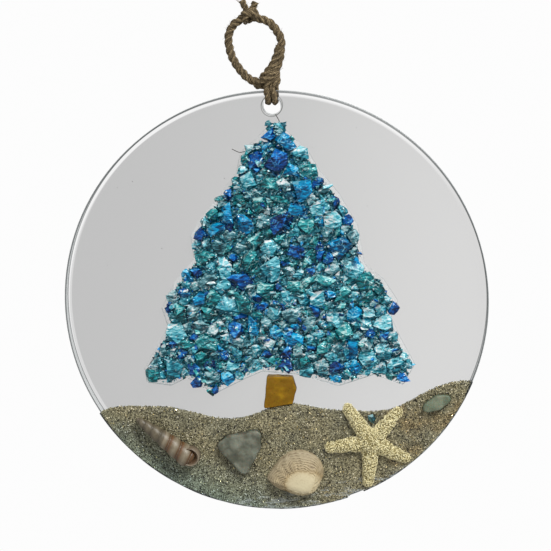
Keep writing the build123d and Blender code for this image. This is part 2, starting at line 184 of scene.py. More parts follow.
class Heap:
    """Many small bodies gathered into one mesh. Each body has its own shade, and each of its
    faces a random number, facet, because broken glass and grains catch the light unevenly."""

    def __init__(self, rng):
        self.rng = rng
        self.points, self.faces, self.shades, self.count = [], [], [], 0

    def add(self, points, faces, shade):
        self.points.append(points)
        self.faces.append(np.asarray(faces) + self.count)
        self.shades.append(np.full(len(points), shade))
        self.count += len(points)

    def build(self, name, material, smooth=False):
        faces = [tuple(face) for faces in self.faces for face in faces.tolist()]
        points, shades = np.vstack(self.points), np.concatenate(self.shades)
        facets = self.rng.uniform(0, 1, len(faces))
        return add_mesh(name, points, faces, material, smooth, shade=shades, facet=facets)


def crumb_shapes(rng, count, sharp=True):
    """Small convex bodies of about unit radius: (points, triangles) each."""
    shapes = []
    for _ in range(count):
        points = rng.normal(size=(9 if sharp else 14, 3))
        points /= np.linalg.norm(points, axis=1)[:, None]
        points *= rng.uniform(0.7 if sharp else 0.9, 1.0, size=(len(points), 1))
        shapes.append(convex_hull(points * (1, 0.75, 0.85)))
    return shapes


def random_turn(rng):
    """A random rotation, as a 3x3 array."""
    axes, _ = np.linalg.qr(rng.normal(size=(3, 3)))
    if np.linalg.det(axes) < 0:
        axes[:, 0] = -axes[:, 0]
    return axes


def rebuilt_copy(node, name, voxel, smoothing, material):
    """A CAD node's shape with an even fine mesh and softened corners, as a new piece."""
    obj = bpy.data.objects.new(name, NODES[node].data.copy())
    bpy.context.scene.collection.objects.link(obj)
    obj.data.materials.clear()
    obj.data.materials.append(material)
    remesh = obj.modifiers.new("remesh", "REMESH")
    remesh.mode = "VOXEL"
    remesh.voxel_size = voxel
    smooth = obj.modifiers.new("smooth", "SMOOTH")
    smooth.iterations = smoothing
    apply_modifiers(obj)
    obj.data.shade_smooth()
    return obj


def round_edges(obj, width, segments, sharpest):
    """Bevel the edges that turn by more than so many degrees."""
    bevel = obj.modifiers.new("rounded", "BEVEL")
    bevel.width = width
    bevel.segments = segments
    bevel.limit_method = "ANGLE"
    bevel.angle_limit = math.radians(sharpest)
    return bevel


def apply_modifiers(obj):
    """Bake an object's modifiers into its mesh."""
    graph = bpy.context.evaluated_depsgraph_get()
    mesh = bpy.data.meshes.new_from_object(obj.evaluated_get(graph))
    obj.modifiers.clear()
    obj.data = mesh


def roughen(obj, size, height):
    """Push every point along its normal by smooth noise of the given bump size."""
    for vertex in obj.data.vertices:
        push = noise.noise(vertex.co / size) * height
        vertex.co += vertex.normal * push


# --- Material helpers ---


class Surface:
    """A material and its nodes. self.place is the position in the part, in millimetres from
    the centre of the disc's back face."""

    def __init__(self, name):
        self.material = bpy.data.materials.new(name)
        self.material.use_nodes = True
        self.tree = self.material.node_tree
        self.tree.nodes.clear()
        self.output = self.add("ShaderNodeOutputMaterial")
        place = self.add("ShaderNodeTexCoord").outputs["Object"]
        from_centre = self.vector("SUBTRACT", place, tuple(DISC_CENTRE))
        self.place = self.vector("SCALE", from_centre, Scale=1 / MM)

    def add(self, kind, inputs=None, **settings):
        node = self.tree.nodes.new(kind)
        for key, value in settings.items():
            setattr(node, key, value)
        for key, value in (inputs or {}).items():
            self.feed(node.inputs[key], value)
        return node

    def feed(self, socket, value):
        if isinstance(value, bpy.types.NodeSocket):
            self.tree.links.new(value, socket)
        else:
            socket.default_value = value

    def vector(self, operation, first, second=None, **inputs):
        node = self.add("ShaderNodeVectorMath", inputs, operation=operation)
        self.feed(node.inputs[0], first)
        if second is not None:
            self.feed(node.inputs[1], second)
        return node.outputs["Value" if operation == "DOT_PRODUCT" else "Vector"]

    def math(self, operation, *values):
        node = self.add("ShaderNodeMath", operation=operation)
        for socket, value in zip(node.inputs, values):
            self.feed(socket, value)
        return node.outputs[0]

    def ease(self, value, low, high):
        """0 below low, 1 above high, smooth between."""
        inputs = {"Value": value, "From Min": low, "From Max": high}
        node = self.add("ShaderNodeMapRange", inputs, interpolation_type="SMOOTHSTEP")
        return node.outputs["Result"]

    def noise(self, scale, detail=3, roughness=0.5, place=None):
        """Smooth noise from 0 to 1, with scale bumps per millimetre."""
        inputs = {"Vector": place or self.place, "Scale": scale}
        inputs |= {"Detail": detail, "Roughness": roughness}
        return self.add("ShaderNodeTexNoise", inputs).outputs["Fac"]

    def cells(self, scale, feature="F1", output="Distance"):
        """A pattern of cells, with scale of them per millimetre."""
        inputs = {"Vector": self.place, "Scale": scale}
        return self.add("ShaderNodeTexVoronoi", inputs, feature=feature).outputs[output]

    def stretch(self, factors, turn=0):
        """The position turned about Y and scaled along each axis, for streaks."""
        inputs = {"Vector": self.place, "Rotation": (0, turn, 0), "Scale": factors}
        return self.add("ShaderNodeMapping", inputs).outputs["Vector"]

    def channel(self, name):
        return self.add("ShaderNodeAttribute", attribute_name=name).outputs["Fac"]

    def shade(self):
        return self.channel("shade")

    def split(self):
        """The x, y and z of the position."""
        return self.add("ShaderNodeSeparateXYZ", {"Vector": self.place}).outputs

    def times(self, *values):
        return self.math("MULTIPLY", *values)

    def length(self, x, z):
        """The length of the flat vector (x, z)."""
        return self.math("SQRT", self.math("ADD", self.times(x, x), self.times(z, z)))

    def total(self, *terms):
        """The sum of (value, factor) terms and plain numbers."""
        result = None
        for term in terms:
            value = self.times(*term) if isinstance(term, tuple) else term
            result = value if result is None else self.math("ADD", result, value)
        return result

    def facing(self):
        """0 where the surface looks at the viewer, 1 where it is seen edge on."""
        return self.add("ShaderNodeLayerWeight", {"Blend": 0.5}).outputs["Facing"]

    def tint(self, share, most, colour, other):
        """The colour turned into the other one, as far as share says and most allows."""
        return self.mix(self.times(share, most), colour, other)

    def darken(self, share, most, colour, factor):
        """The colour times factor, as far as share says and most allows."""
        return self.tint(share, most, colour, self.mix(1.0, colour, factor, "MULTIPLY"))

    def ramp(self, value, stops):
        """A colour that follows value through (place, colour) stops."""
        node = self.add("ShaderNodeValToRGB", {"Fac": value})
        band = node.color_ramp
        while len(band.elements) < len(stops):
            band.elements.new(1)
        for element, (place, colour) in zip(band.elements, stops):
            element.position = place
            element.color = (*colour, 1)
        return node.outputs["Color"]

    def mix(self, share, first, second, blend="MIX"):
        node = self.add("ShaderNodeMix", data_type="RGBA", blend_type=blend)
        # Sockets 0, 6 and 7 are the share and the two colours, and output 2 is the result.
        for number, value in ((0, share), (6, first), (7, second)):
            self.feed(node.inputs[number], (*value, 1) if isinstance(value, tuple) else value)
        return node.outputs[2]

    def bump(self, height, depth, under=None):
        """A normal from a 0 to 1 height that stands for depth metres, over another normal."""
        inputs = {"Height": height, "Distance": depth, "Strength": 1.0}
        if under is not None:
            inputs["Normal"] = under
        return self.add("ShaderNodeBump", inputs).outputs["Normal"]

    def principled(self, **inputs):
        named = {}
        for key, value in inputs.items():
            title = key.replace("_", " ").title().replace("Ior", "IOR")
            named[title] = (*value, 1) if isinstance(value, tuple) else value
        return self.add("ShaderNodeBsdfPrincipled", named).outputs["BSDF"]

    def transparent(self, colour):
        colour = (*colour, 1) if isinstance(colour, tuple) else colour
        return self.add("ShaderNodeBsdfTransparent", {"Color": colour}).outputs["BSDF"]

    def blend_shaders(self, share, first, second):
        node = self.add("ShaderNodeMixShader", {0: share, 1: first, 2: second})
        return node.outputs["Shader"]

    def light_through(self, shader, colour):
        """Let shadow rays pass, tinted, so that glass doesn't cast a black shadow."""
        shadow = self.add("ShaderNodeLightPath").outputs["Is Shadow Ray"]
        return self.blend_shaders(shadow, shader, self.transparent(colour))

    def finish(self, **looks):
        """The material, with one plain shader."""
        return self.done(self.principled(**looks))

    def done(self, shader):
        self.feed(self.output.inputs["Surface"], shader)
        return self.material


# --- Materials ---


def acrylic_material():
    """Clear sheet that greys what is behind it, with painted shade that makes it darker to the left,
    a painted band of light inside the upper left rim, a dark edge line of painted shade, a painted
    dark ring and a painted highlight round the hole, and fine scratches. Light crosses two faces
    of the sheet, so each takes half of the effect."""
    s = Surface("acrylic")
    x, _, z = s.split()
    radius, edge = s.length(x, z), DISC_RADIUS / MM
    # Painted shade: the grey tint is darker to the left, away from the key light.
    sideways = s.total(x, (z, -0.2), (s.noise(0.03, 1), 8.0))
    tint = s.ramp(
        s.ease(sideways, -48, 52),
        [(0, (0.735, 0.735, 0.735)), (0.5, (0.775, 0.775, 0.773)), (1, (0.835, 0.834, 0.832))],
    )
    # A painted band of light inside the upper left rim, as if piped in through the edge.
    towards_light = s.ease(s.total((x, -1.0), z), -30, 20)
    band = s.times(s.ease(radius, edge - 1.35, edge - 1.0), towards_light)
    tint = s.tint(band, 0.9, tint, (0.99, 0.99, 0.99))
    # Painted shade: a dark line along the rim.
    tint = s.tint(s.ease(radius, edge - 0.45, edge - 0.3), 0.9, tint, (0.16, 0.17, 0.17))
    hole = (HOLE_CENTRE - DISC_CENTRE) / MM
    from_hole = s.length(s.math("SUBTRACT", x, hole.x), s.math("SUBTRACT", z, hole.z))
    past_hole = s.math("SUBTRACT", from_hole, HOLE_RADIUS / MM)
    # Painted shade, then a painted highlight: a dark ring and a bright ring round the hole.
    tint = s.tint(s.ease(past_hole, 0.5, 0.35), 0.8, tint, (0.2, 0.21, 0.2))
    tint = s.tint(s.ease(past_hole, 0.3, 0.2), 0.9, tint, (0.97, 0.97, 0.97))
    scratches = s.ease(s.noise(1.0, 2, place=s.stretch((0.15, 1, 5), turn=0.5)), 0.72, 0.78)
    clear = s.transparent(s.tint(scratches, 0.08, tint, (0.95, 0.95, 0.95)))
    gloss = s.principled(base_color=(0.8, 0.8, 0.8), roughness=0.05, ior=1.49)
    return s.done(s.blend_shaders(0.02, clear, gloss))


def rim_material():
    """The disc's edge: a polished wall painted as a thin dark line of shade with a band of painted
    light in it.
    """
    s = Surface("acrylic_rim")
    _, y, _ = s.split()
    depth = s.ease(y, (FACE_Y - DISC_CENTRE.y) / MM, 0.0)
    # Painted shade at the front of the wall, and a painted band of light behind it.
    colour = s.ramp(
        depth, [(0, (0.08, 0.09, 0.09)), (0.25, (0.75, 0.77, 0.77)), (1, (0.5, 0.52, 0.52))]
    )
    wall = s.principled(base_color=colour, roughness=0.15, ior=1.49)
    return s.done(s.blend_shaders(0.45, wall, s.transparent((0.8, 0.82, 0.82))))


def resin_material():
    """Clear casting resin: nearly invisible, with a dark line of painted shade where its edges are
    seen edge on, and a glint on them.
    """
    s = Surface("resin")
    uneven = s.bump(s.noise(0.9, 3), 0.15 * MM)
    edge = s.ease(s.facing(), 0.25, 0.9)
    # Painted shade: the clear resin is tinted dark where it is seen edge on.
    clear = s.transparent(s.mix(edge, (0.985, 0.99, 0.99), (0.45, 0.5, 0.5)))
    gloss = s.principled(base_color=(0.85, 0.88, 0.88), roughness=0.04, ior=1.5, normal=uneven)
    return s.done(s.blend_shaders(s.total((edge, 0.35), 0.05), clear, gloss))


def coat_material():
    """Resin that has run over the sand's edge: dark and uneven, with painted highlights in pale
    streaks at the bottom."""
    s = Surface("resin_coat")
    x, _, z = s.split()
    bottom = s.ease(s.total((z, -1.0), (x, 0.35)), 38, 52)
    # Painted highlights: pale streaks, mostly at the bottom.
    streaks = s.ease(s.noise(0.8, 4, 0.65), 0.42, 0.6)
    share = s.times(streaks, s.total((bottom, 0.7), 0.1))
    colour = s.mix(share, (0.006, 0.009, 0.009), (0.5, 0.55, 0.54))
    uneven = s.bump(s.noise(1.5, 3), 0.2 * MM)
    return s.finish(base_color=colour, roughness=0.3, specular_ior_level=0.3, normal=uneven)


def chip_material(name, stops, clearness):
    """Crushed glass, coloured with painted light and shade. A rippled facet that looks up and left
    is painted full of light, one that looks down is painted deep in shade, and random facets and
    stretched noise paint glow and glints, up to the painted highlight of the palest stop. Cracks
    show pale, and what is seen edge on is painted dark as shade. Light crosses a chip's wall
    twice, so the glass takes half of the colour each time."""
    s = Surface(name)
    ripple = s.bump(s.noise(0.75, 1.5, place=s.stretch((1, 1, 1.8), turn=0.7)), 0.55 * MM)
    painted_lit_side = s.vector("DOT_PRODUCT", ripple, TREE_LIGHT)
    painted_glow_streaks = s.noise(0.6, 2, 0.5, place=s.stretch((1, 1, 2.2), turn=0.6))
    # Painted light: the level rises on facets that face TREE_LIGHT, on random facets and along painted
    # glow streaks.
    level = s.total(
        (s.channel("facet"), 0.32), (s.shade(), 0.24), (painted_glow_streaks, 1.2), (painted_lit_side, 0.42), -0.4
    )
    colour = s.ramp(level, stops)
    cracks = s.ease(s.cells(0.8, "DISTANCE_TO_EDGE"), 0.09, 0.0)
    inside = s.ease(s.noise(0.5, 2), 0.52, 0.62)
    pale = stops[-1][1]
    colour = s.tint(s.times(cracks, inside), 0.6, colour, pale)
    # Painted shade: a dark outline where the glass is seen edge on.
    colour = s.darken(s.ease(s.facing(), 0.35, 0.9), 0.9, colour, (0.1, 0.13, 0.16))
    half = s.add("ShaderNodeGamma", {"Color": colour, "Gamma": 0.55}).outputs["Color"]
    glass = s.principled(
        base_color=half, roughness=0.06, ior=1.5, transmission_weight=1.0, normal=ripple
    )
    glint = s.bump(s.noise(2.5, 2), 0.12 * MM, under=ripple)
    body = s.principled(base_color=colour, roughness=0.16, specular_ior_level=0.3, normal=glint)
    return s.done(s.light_through(s.blend_shaders(clearness, body, glass), half))


def crust_material():
    """The crust of crushed clear glass, in painted light and shade: each facet is grey-green,
    painted near black as shade or pale as a highlight, and lighter where it faces TREE_LIGHT.
    """
    s = Surface("glass_crust")
    ripple = s.bump(s.noise(2.5, 3), 0.2 * MM)
    painted_lit_side = s.vector("DOT_PRODUCT", ripple, TREE_LIGHT)
    painted_light_mottle = s.noise(1.8, 2, 0.5)
    # Painted light: lighter on facets that face TREE_LIGHT, on random facets and in a mottle.
    level = s.total(
        (s.channel("facet"), 0.45), (s.shade(), 0.2), (painted_light_mottle, 0.9), (painted_lit_side, 0.33), -0.37
    )
    colour = s.ramp(
        level,
        [
            (0, (0.001, 0.015, 0.025)), (0.3, (0.006, 0.07, 0.1)), (0.6, (0.035, 0.21, 0.27)),
            (0.82, (0.2, 0.5, 0.55)), (0.97, (0.9, 1.0, 0.98)),
        ],
    )
    return s.finish(
        base_color=colour, roughness=0.12, specular_ior_level=0.3, normal=ripple
    )


def sea_glass_material(name, dark, light, roughness, speck):
    """Tumbled glass: satin, cloudy from dark to light inside, with small dark specks that are as
    dark as speck says, and painted shade where it is seen edge on."""
    s = Surface(name)
    cloud = s.ease(s.noise(0.28, 3), 0.38, 0.66)
    colour = s.mix(cloud, dark, light)
    dark_specks = s.ease(s.cells(1.3), 0.16, 0.08)
    colour = s.darken(dark_specks, speck, colour, (0.35, 0.33, 0.3))
    # Painted shade: darker where the glass is seen edge on.
    colour = s.darken(s.ease(s.facing(), 0.35, 0.95), 0.8, colour, (0.3, 0.28, 0.25))
    grain = s.bump(s.noise(7, 4), 0.03 * MM)
    waves = s.bump(s.noise(0.5, 2), 0.25 * MM, under=grain)
    body = s.principled(
        base_color=colour, roughness=roughness, ior=1.5, specular_ior_level=0.2,
        subsurface_weight=0.15, subsurface_scale=0.5 * MM, normal=waves,
    )
    return s.done(body)


def sand_material():
    """Sand grains: khaki and tan, some near black, some pale, and glitter that shines gold. The
    ground under the grains has the shade -1, and gets grains drawn as cells. The sand near the
    lower left rim takes a blue-green tint from the resin, the bottom rim has painted highlights
    in pale streaks, and the right side is browner."""
    s = Surface("sand")
    is_ground = s.math("LESS_THAN", s.shade(), 0)
    drawn_grains = s.times(is_ground, s.cells(4.2, output="Color"))
    shade = s.total(s.math("MAXIMUM", s.shade(), 0), (drawn_grains, 0.9))
    colour = s.ramp(
        shade,
        [
            (0, (0.008, 0.007, 0.005)), (0.08, (0.03, 0.025, 0.015)), (0.18, (0.12, 0.105, 0.055)),
            (0.45, (0.235, 0.21, 0.118)), (0.7, (0.36, 0.325, 0.195)), (0.86, (0.5, 0.45, 0.29)),
            (0.92, (0.72, 0.66, 0.5)), (0.965, (0.95, 0.76, 0.36)),
        ],
    )
    patch = s.ease(s.noise(0.13, 3), 0.38, 0.66)
    colour = s.darken(patch, 0.6, colour, (0.72, 0.78, 0.88))
    x, _, z = s.split()
    wet = s.ease(s.total((x, -0.45), (z, -1.0), (s.noise(0.2, 2), 6.0)), 44, 60)
    colour = s.darken(wet, 0.9, colour, (0.7, 1.0, 1.3))
    # Painted highlights: pale streaks along the bottom rim.
    bottom = s.ease(s.total((z, -1.0), (x, 0.2), (s.noise(0.3, 2), 3.0)), 46.5, 50)
    streaks = s.ease(s.noise(0.9, 3, 0.6, place=s.stretch((0.3, 1, 1.4))), 0.48, 0.62)
    colour = s.tint(s.times(bottom, streaks), 0.5, colour, (0.5, 0.55, 0.55))
    warm = s.times(s.ease(x, 18, 30), s.ease(s.noise(0.16, 3), 0.42, 0.62))
    colour = s.darken(warm, 0.7, colour, (1.0, 0.82, 0.62))
    glitter = s.math("GREATER_THAN", shade, 0.96)
    rough = s.total((glitter, -0.37), 0.55)
    return s.finish(base_color=colour, metallic=glitter, roughness=rough)


def starfish_material():
    """Dry starfish skin: cream-yellow granules over a dark ground that stands for the shade in the
    gaps between them.
    """
    s = Surface("starfish")
    level = s.total(s.shade(), (s.noise(1.4, 3), 0.3), (s.channel("facet"), 0.16), -0.23)
    colour = s.ramp(
        level,
        [
            (0, (0.1, 0.08, 0.03)), (0.22, (0.24, 0.2, 0.08)), (0.42, (0.54, 0.47, 0.24)),
            (0.7, (0.74, 0.66, 0.37)), (1, (0.88, 0.82, 0.54)),
        ],
    )
    fine = s.bump(s.noise(9, 3), 0.04 * MM)
    return s.finish(base_color=colour, roughness=0.8, normal=fine)


def clam_material():
    """Chalky shell. The shade is 0 in the middle of the worn patch and 0.5 at its edge, and
    groove is 1 in the bottom of a growth line."""
    s = Surface("clam")
    shade = s.total(s.shade(), (s.noise(0.35, 4), 0.16), -0.08)
    colour = s.ramp(
        shade,
        [
            (0, (0.6, 0.53, 0.34)), (0.36, (0.58, 0.5, 0.32)), (0.46, (0.52, 0.43, 0.26)),
            (0.52, (0.37, 0.28, 0.145)), (0.6, (0.39, 0.31, 0.18)), (0.8, (0.4, 0.325, 0.195)),
            (1, (0.36, 0.3, 0.19)),
        ],
    )
    grooves = s.times(s.channel("groove"), s.ease(s.noise(0.7, 3), 0.3, 0.6))
    colour = s.tint(grooves, 0.75, colour, (0.16, 0.11, 0.06))
    grain = s.ease(s.noise(2.2, 5, 0.7), 0.5, 0.75)
    colour = s.darken(grain, 0.5, colour, (0.6, 0.52, 0.42))
    fine = s.bump(s.noise(5, 4), 0.06 * MM)
    return s.finish(base_color=colour, roughness=0.6, normal=fine)


def auger_material():
    """Satin spire shell, greyish tan. The shade is the place within a whorl, plus 1 on the
    lower whorls, whose seams are orange-brown."""
    s = Surface("auger")
    shade = s.shade()
    within = s.math("FRACT", shade)
    plain = s.ramp(
        within,
        [(0, (0.035, 0.028, 0.017)), (0.1, (0.085, 0.068, 0.04)), (0.5, (0.13, 0.107, 0.066)),
         (0.85, (0.1, 0.082, 0.05)), (1, (0.045, 0.036, 0.022))],
    )
    banded = s.ramp(
        within,
        [(0, (0.06, 0.028, 0.01)), (0.16, (0.13, 0.063, 0.023)), (0.3, (0.155, 0.115, 0.068)),
         (0.55, (0.225, 0.19, 0.13)), (0.78, (0.155, 0.12, 0.073)), (0.88, (0.11, 0.056, 0.022)),
         (1, (0.055, 0.026, 0.01))],
    )
    colour = s.mix(s.math("GREATER_THAN", shade, 1.0), plain, banded)
    streak = s.ease(s.noise(1.2, 4), 0.45, 0.75)
    colour = s.darken(streak, 0.45, colour, (0.55, 0.5, 0.45))
    fine = s.bump(s.noise(6, 3), 0.03 * MM)
    return s.finish(base_color=colour, roughness=0.45, normal=fine)


def mouth_material():
    """The shadowed orange-brown inside of the spire shell."""
    s = Surface("auger_mouth")
    colour = s.ramp(
        s.shade(),
        [(0, (0.03, 0.014, 0.006)), (0.35, (0.09, 0.05, 0.024)), (0.6, (0.15, 0.115, 0.075)),
         (0.9, (0.27, 0.225, 0.16))],
    )
    fine = s.bump(s.noise(5, 3), 0.03 * MM)
    return s.finish(base_color=colour, roughness=0.5, normal=fine)


def jute_material():
    """Dry jute: brown fibres with paler and darker strands, dull."""
    s = Surface("jute")
    strand = s.total(s.shade(), (s.noise(3, 4, 0.7), 0.9), -0.45)
    colour = s.ramp(
        strand,
        [
            (0, (0.016, 0.01, 0.004)), (0.3, (0.05, 0.034, 0.015)), (0.6, (0.12, 0.086, 0.042)),
            (1, (0.33, 0.25, 0.135)),
        ],
    )
    fibre = s.bump(s.noise(8, 4, 0.7), 0.08 * MM)
    return s.finish(base_color=colour, roughness=0.9, normal=fibre)


def speck_material():
    """Dust and grit caught on the sheet."""
    s = Surface("speck")
    colour = s.ramp(s.noise(2, 2), [(0.3, (0.02, 0.02, 0.02)), (0.7, (0.12, 0.11, 0.1))])
    return s.finish(base_color=colour, roughness=0.7)


# --- Disc ---


def dress_disc():
    """The CAD disc keeps its shape: its faces are clear, its edge wall has its own look."""
    disc = NODES["clear_disc"]
    disc.data.materials.clear()
    disc.data.materials.append(acrylic_material())
    disc.data.materials.append(rim_material())
    for face in disc.data.polygons:
        face.material_index = 0 if abs(face.normal.y) > 0.9 else 1


def build_resin_thread():
    """A hair of cured resin from the hole to the tip of the tree, and a loose one beside it."""
    hole_bottom = HOLE_CENTRE + Vector((0.9 * MM, 0, -0.9 * HOLE_RADIUS))
    threads = [
        [(0, 0), (0.5, -0.9), (0.9, -1.7), (1.1, -2.6)],
        [(-10.4, -8.1), (-8.6, -8.9), (-7.2, -8.7), (-6.4, -9.5)],
    ]
    heap = []
    for offsets in threads:
        corners = [hole_bottom + Vector((x, 0, z)) * MM for x, z in offsets]
        frames = rope_frames(smooth_path(corners, 0.3 * MM))
        points = []
        for place, _, side, other in frames:
            points += ring_points(place, side, other, 5, 0.1 * MM)
        heap.append((points, grid_faces(len(frames) - 1, 5, caps=True), [0.5] * len(points)))
    finish_piece(rope_piece("resin_threads", heap, speck_material()))


SPECK_COUNT = 26
SPECK_SIZES = (0.06 * MM, 0.17 * MM)


def build_specks(rng):
    """A few crumbs of sand and dust stuck on the clear part of the front face."""
    heap = Heap(rng)
    shapes = crumb_shapes(rng, 6)
    for _ in range(SPECK_COUNT):
        angle, reach = rng.uniform(0.1, 3.04), rng.uniform(0.35, 0.93) * DISC_RADIUS
        x, z = reach * math.cos(angle), reach * math.sin(angle)
        if abs(x) < 0.5 * (45 * MM - z):
            continue
        points, faces = shapes[rng.integers(len(shapes))]
        size = rng.uniform(*SPECK_SIZES)
        spot = (DISC_CENTRE.x + x, FACE_Y, DISC_CENTRE.z + z)
        heap.add(points @ random_turn(rng) * size * (1, 0.4, 1) + spot, faces, 0.5)
    specks = heap.build("dust_specks", speck_material())
    finish_piece(specks)


# --- Tree ---

GLASS = {
    # Colour stops from deep painted shade to a pale painted highlight, and how much of the light goes
    # straight through.
    "cobalt": (
        [(0, (0.0003, 0.004, 0.02)), (0.3, (0.0005, 0.02, 0.1)), (0.55, (0.001, 0.075, 0.32)),
         (0.8, (0.002, 0.19, 0.6)), (0.97, (0.1, 0.5, 0.9))],
        0.25,
    ),
    "azure": (
        [(0, (0.0003, 0.02, 0.06)), (0.3, (0.0005, 0.1, 0.25)), (0.55, (0.001, 0.27, 0.56)),
         (0.8, (0.002, 0.46, 0.82)), (0.97, (0.3, 0.8, 0.98))],
        0.3,
    ),
    "teal": (
        [(0, (0.0005, 0.018, 0.028)), (0.28, (0.001, 0.085, 0.1)), (0.52, (0.005, 0.22, 0.25)),
         (0.76, (0.06, 0.5, 0.52)), (0.95, (0.6, 0.95, 0.92))],
        0.3,
    ),
    "aqua": (
        [(0, (0.001, 0.05, 0.08)), (0.28, (0.008, 0.19, 0.27)), (0.52, (0.06, 0.43, 0.54)),
         (0.76, (0.32, 0.82, 0.9)), (0.95, (0.95, 1.0, 1.0))],
        0.35,
    ),
    "clear": (
        [(0, (0.002, 0.025, 0.035)), (0.28, (0.018, 0.11, 0.14)), (0.52, (0.1, 0.32, 0.38)),
         (0.76, (0.48, 0.74, 0.76)), (0.95, (1.0, 1.0, 1.0))],
        0.35,
    ),
}
# Slivers that lie across the chips: how many, and the share of each colour.
SLIVER_COUNT = 280
SLIVERS = {"clear": 0.36, "aqua": 0.24, "teal": 0.22, "azure": 0.08, "cobalt": 0.1}


def shard(rng, part):
    """A sharp broken piece of glass on the footprint of a CAD chip: (points, triangles). It
    is drawn out along one direction, and its top is a crest that leans to one side."""
    base_y, top_y = part[:, 1].max(), part[:, 1].min()
    foot = part[part[:, 1] > base_y - 0.05 * MM]
    middle = foot.mean(axis=0)
    reach = np.linalg.norm(foot - middle, axis=1).mean()
    height = (base_y - top_y) * rng.uniform(0.8, 1.25)
    grain_angle, stretch = rng.uniform(0, math.pi), rng.uniform(1.0, 1.25)
    grain = np.array((math.cos(grain_angle), 0, math.sin(grain_angle)))
    cloud = []
    for corner in rng.permutation(foot)[: rng.integers(5, 8)]:
        out = corner - middle
        along = grain * (out @ grain)
        out = along * stretch + (out - along) / stretch**0.5
        cloud.append(middle + out * rng.uniform(0.75, 1.0))
        cloud.append(middle + out * rng.uniform(0.8, 1.15) - (0, height * rng.uniform(0.15, 0.9), 0))
    lean = rng.uniform(0, math.tau)
    for _ in range(rng.integers(3, 6)):
        angle, share = lean + rng.uniform(-1.4, 1.4), rng.uniform(0.1, 0.75)
        x, z = share * reach * math.cos(angle), share * reach * math.sin(angle)
        cloud.append(middle + (x, -height * rng.uniform(0.9, 1.1), z))
    return convex_hull(cloud)


def sliver(rng, spot, size):
    """A thin sharp splinter that lies tilted across the chips: (points, triangles)."""
    cloud = rng.uniform(-1, 1, (12, 3)) * (1.0, 0.3, 0.5) * size
    turn = Matrix.Rotation(rng.uniform(0, math.tau), 3, "Y")
    tilt = Matrix.Rotation(rng.uniform(-0.7, 0.7), 3, "Z")
    return convex_hull(cloud @ np.array(turn @ tilt).T + spot)


def build_chips(rng):
    """The chips of each colour, one shard for each CAD chip, and slivers across them."""
    heaps = {}
    chips = []
    for node in sorted(NODES):
        if node.endswith(("_chips", "_grit")):
            heaps[node] = Heap(rng)
            for part in loose_parts(node):
                heaps[node].add(*shard(rng, part), rng.uniform(0, 1))
                chips.append(part)
    for _ in range(SLIVER_COUNT):
        colour = rng.choice(list(SLIVERS), p=list(SLIVERS.values()))
        part = chips[rng.integers(len(chips))]
        size = rng.uniform(0.5, 1.5) * MM
        low, high = part.min(axis=0), part.max(axis=0)
        spot = low + (high - low) * rng.uniform(0.1, 0.9, 3)
        spot[1] = low[1] + rng.uniform(-0.1, 0.5) * MM
        heaps[colour + "_chips"].add(*sliver(rng, spot, size), rng.uniform(0, 1))
    for node, heap in heaps.items():
        colour = node.split("_")[0]
        shards = heap.build(node + "_shards", GLASS_MATERIALS[colour])
        bevel = round_edges(shards, 0.1 * MM, 2, 25)
        shards.data.shade_smooth()
        bevel.harden_normals = True
        finish_piece(shards, node)


# The layers of crumbs between the chips, from the resin up: (tries, smallest and largest
# size in mm, flatness, distance inside the resin's edge in mm, highest place above the resin
# in mm, lightest shade). The lowest layer is broad flakes that hide the sheet.
GRIT_LAYERS = [
    (4600, 0.8, 1.25, 0.3, 1.5, 0.2, 0.8),
    (3800, 0.4, 0.75, 0.8, 0.9, 1.0, 1.0),
    (3200, 0.22, 0.45, 0.9, 0.7, 2.0, 1.0),
]
GRIT_COLOURS = {"clear": 0.4, "aqua": 0.18, "teal": 0.31, "cobalt": 0.11}
# The crust under them: the spacing of its bumps and its distance inside the resin's edge.
CRUST_PITCH = 0.62 * MM
CRUST_INSET = 1.1 * MM


def build_fine_grit(rng):
    """Crumbs of glass that fill the gaps of the tree, down to the resin."""
    heaps = {colour: Heap(rng) for colour in GRIT_COLOURS}
    shapes = crumb_shapes(rng, 24)
    for tries, smallest, largest, flat, inset, top, lightest in GRIT_LAYERS:
        outline = resin_outline(-inset * MM)
        low, high = outline.min(axis=0), outline.max(axis=0)
        for _ in range(tries):
            x, z = rng.uniform(low[0], high[0]), rng.uniform(low[1], high[1])
            if not inside(x, z, outline):
                continue
            colour = rng.choice(list(heaps), p=list(GRIT_COLOURS.values()))
            points, faces = shapes[rng.integers(len(shapes))]
            size = rng.uniform(smallest, largest) * MM * rng.uniform(0.7, 1.2, 3)
            crumb = (points * size) @ random_turn(rng) * (1, flat, 1)
            spot = (x, RESIN_Y - rng.uniform(0, top) * MM, z)
            heaps[colour].add(crumb + spot, faces, rng.uniform(0, lightest))
    for colour, heap in heaps.items():
        grit = heap.build("fine_" + colour + "_grit", GLASS_MATERIALS[colour])
        finish_piece(grit)


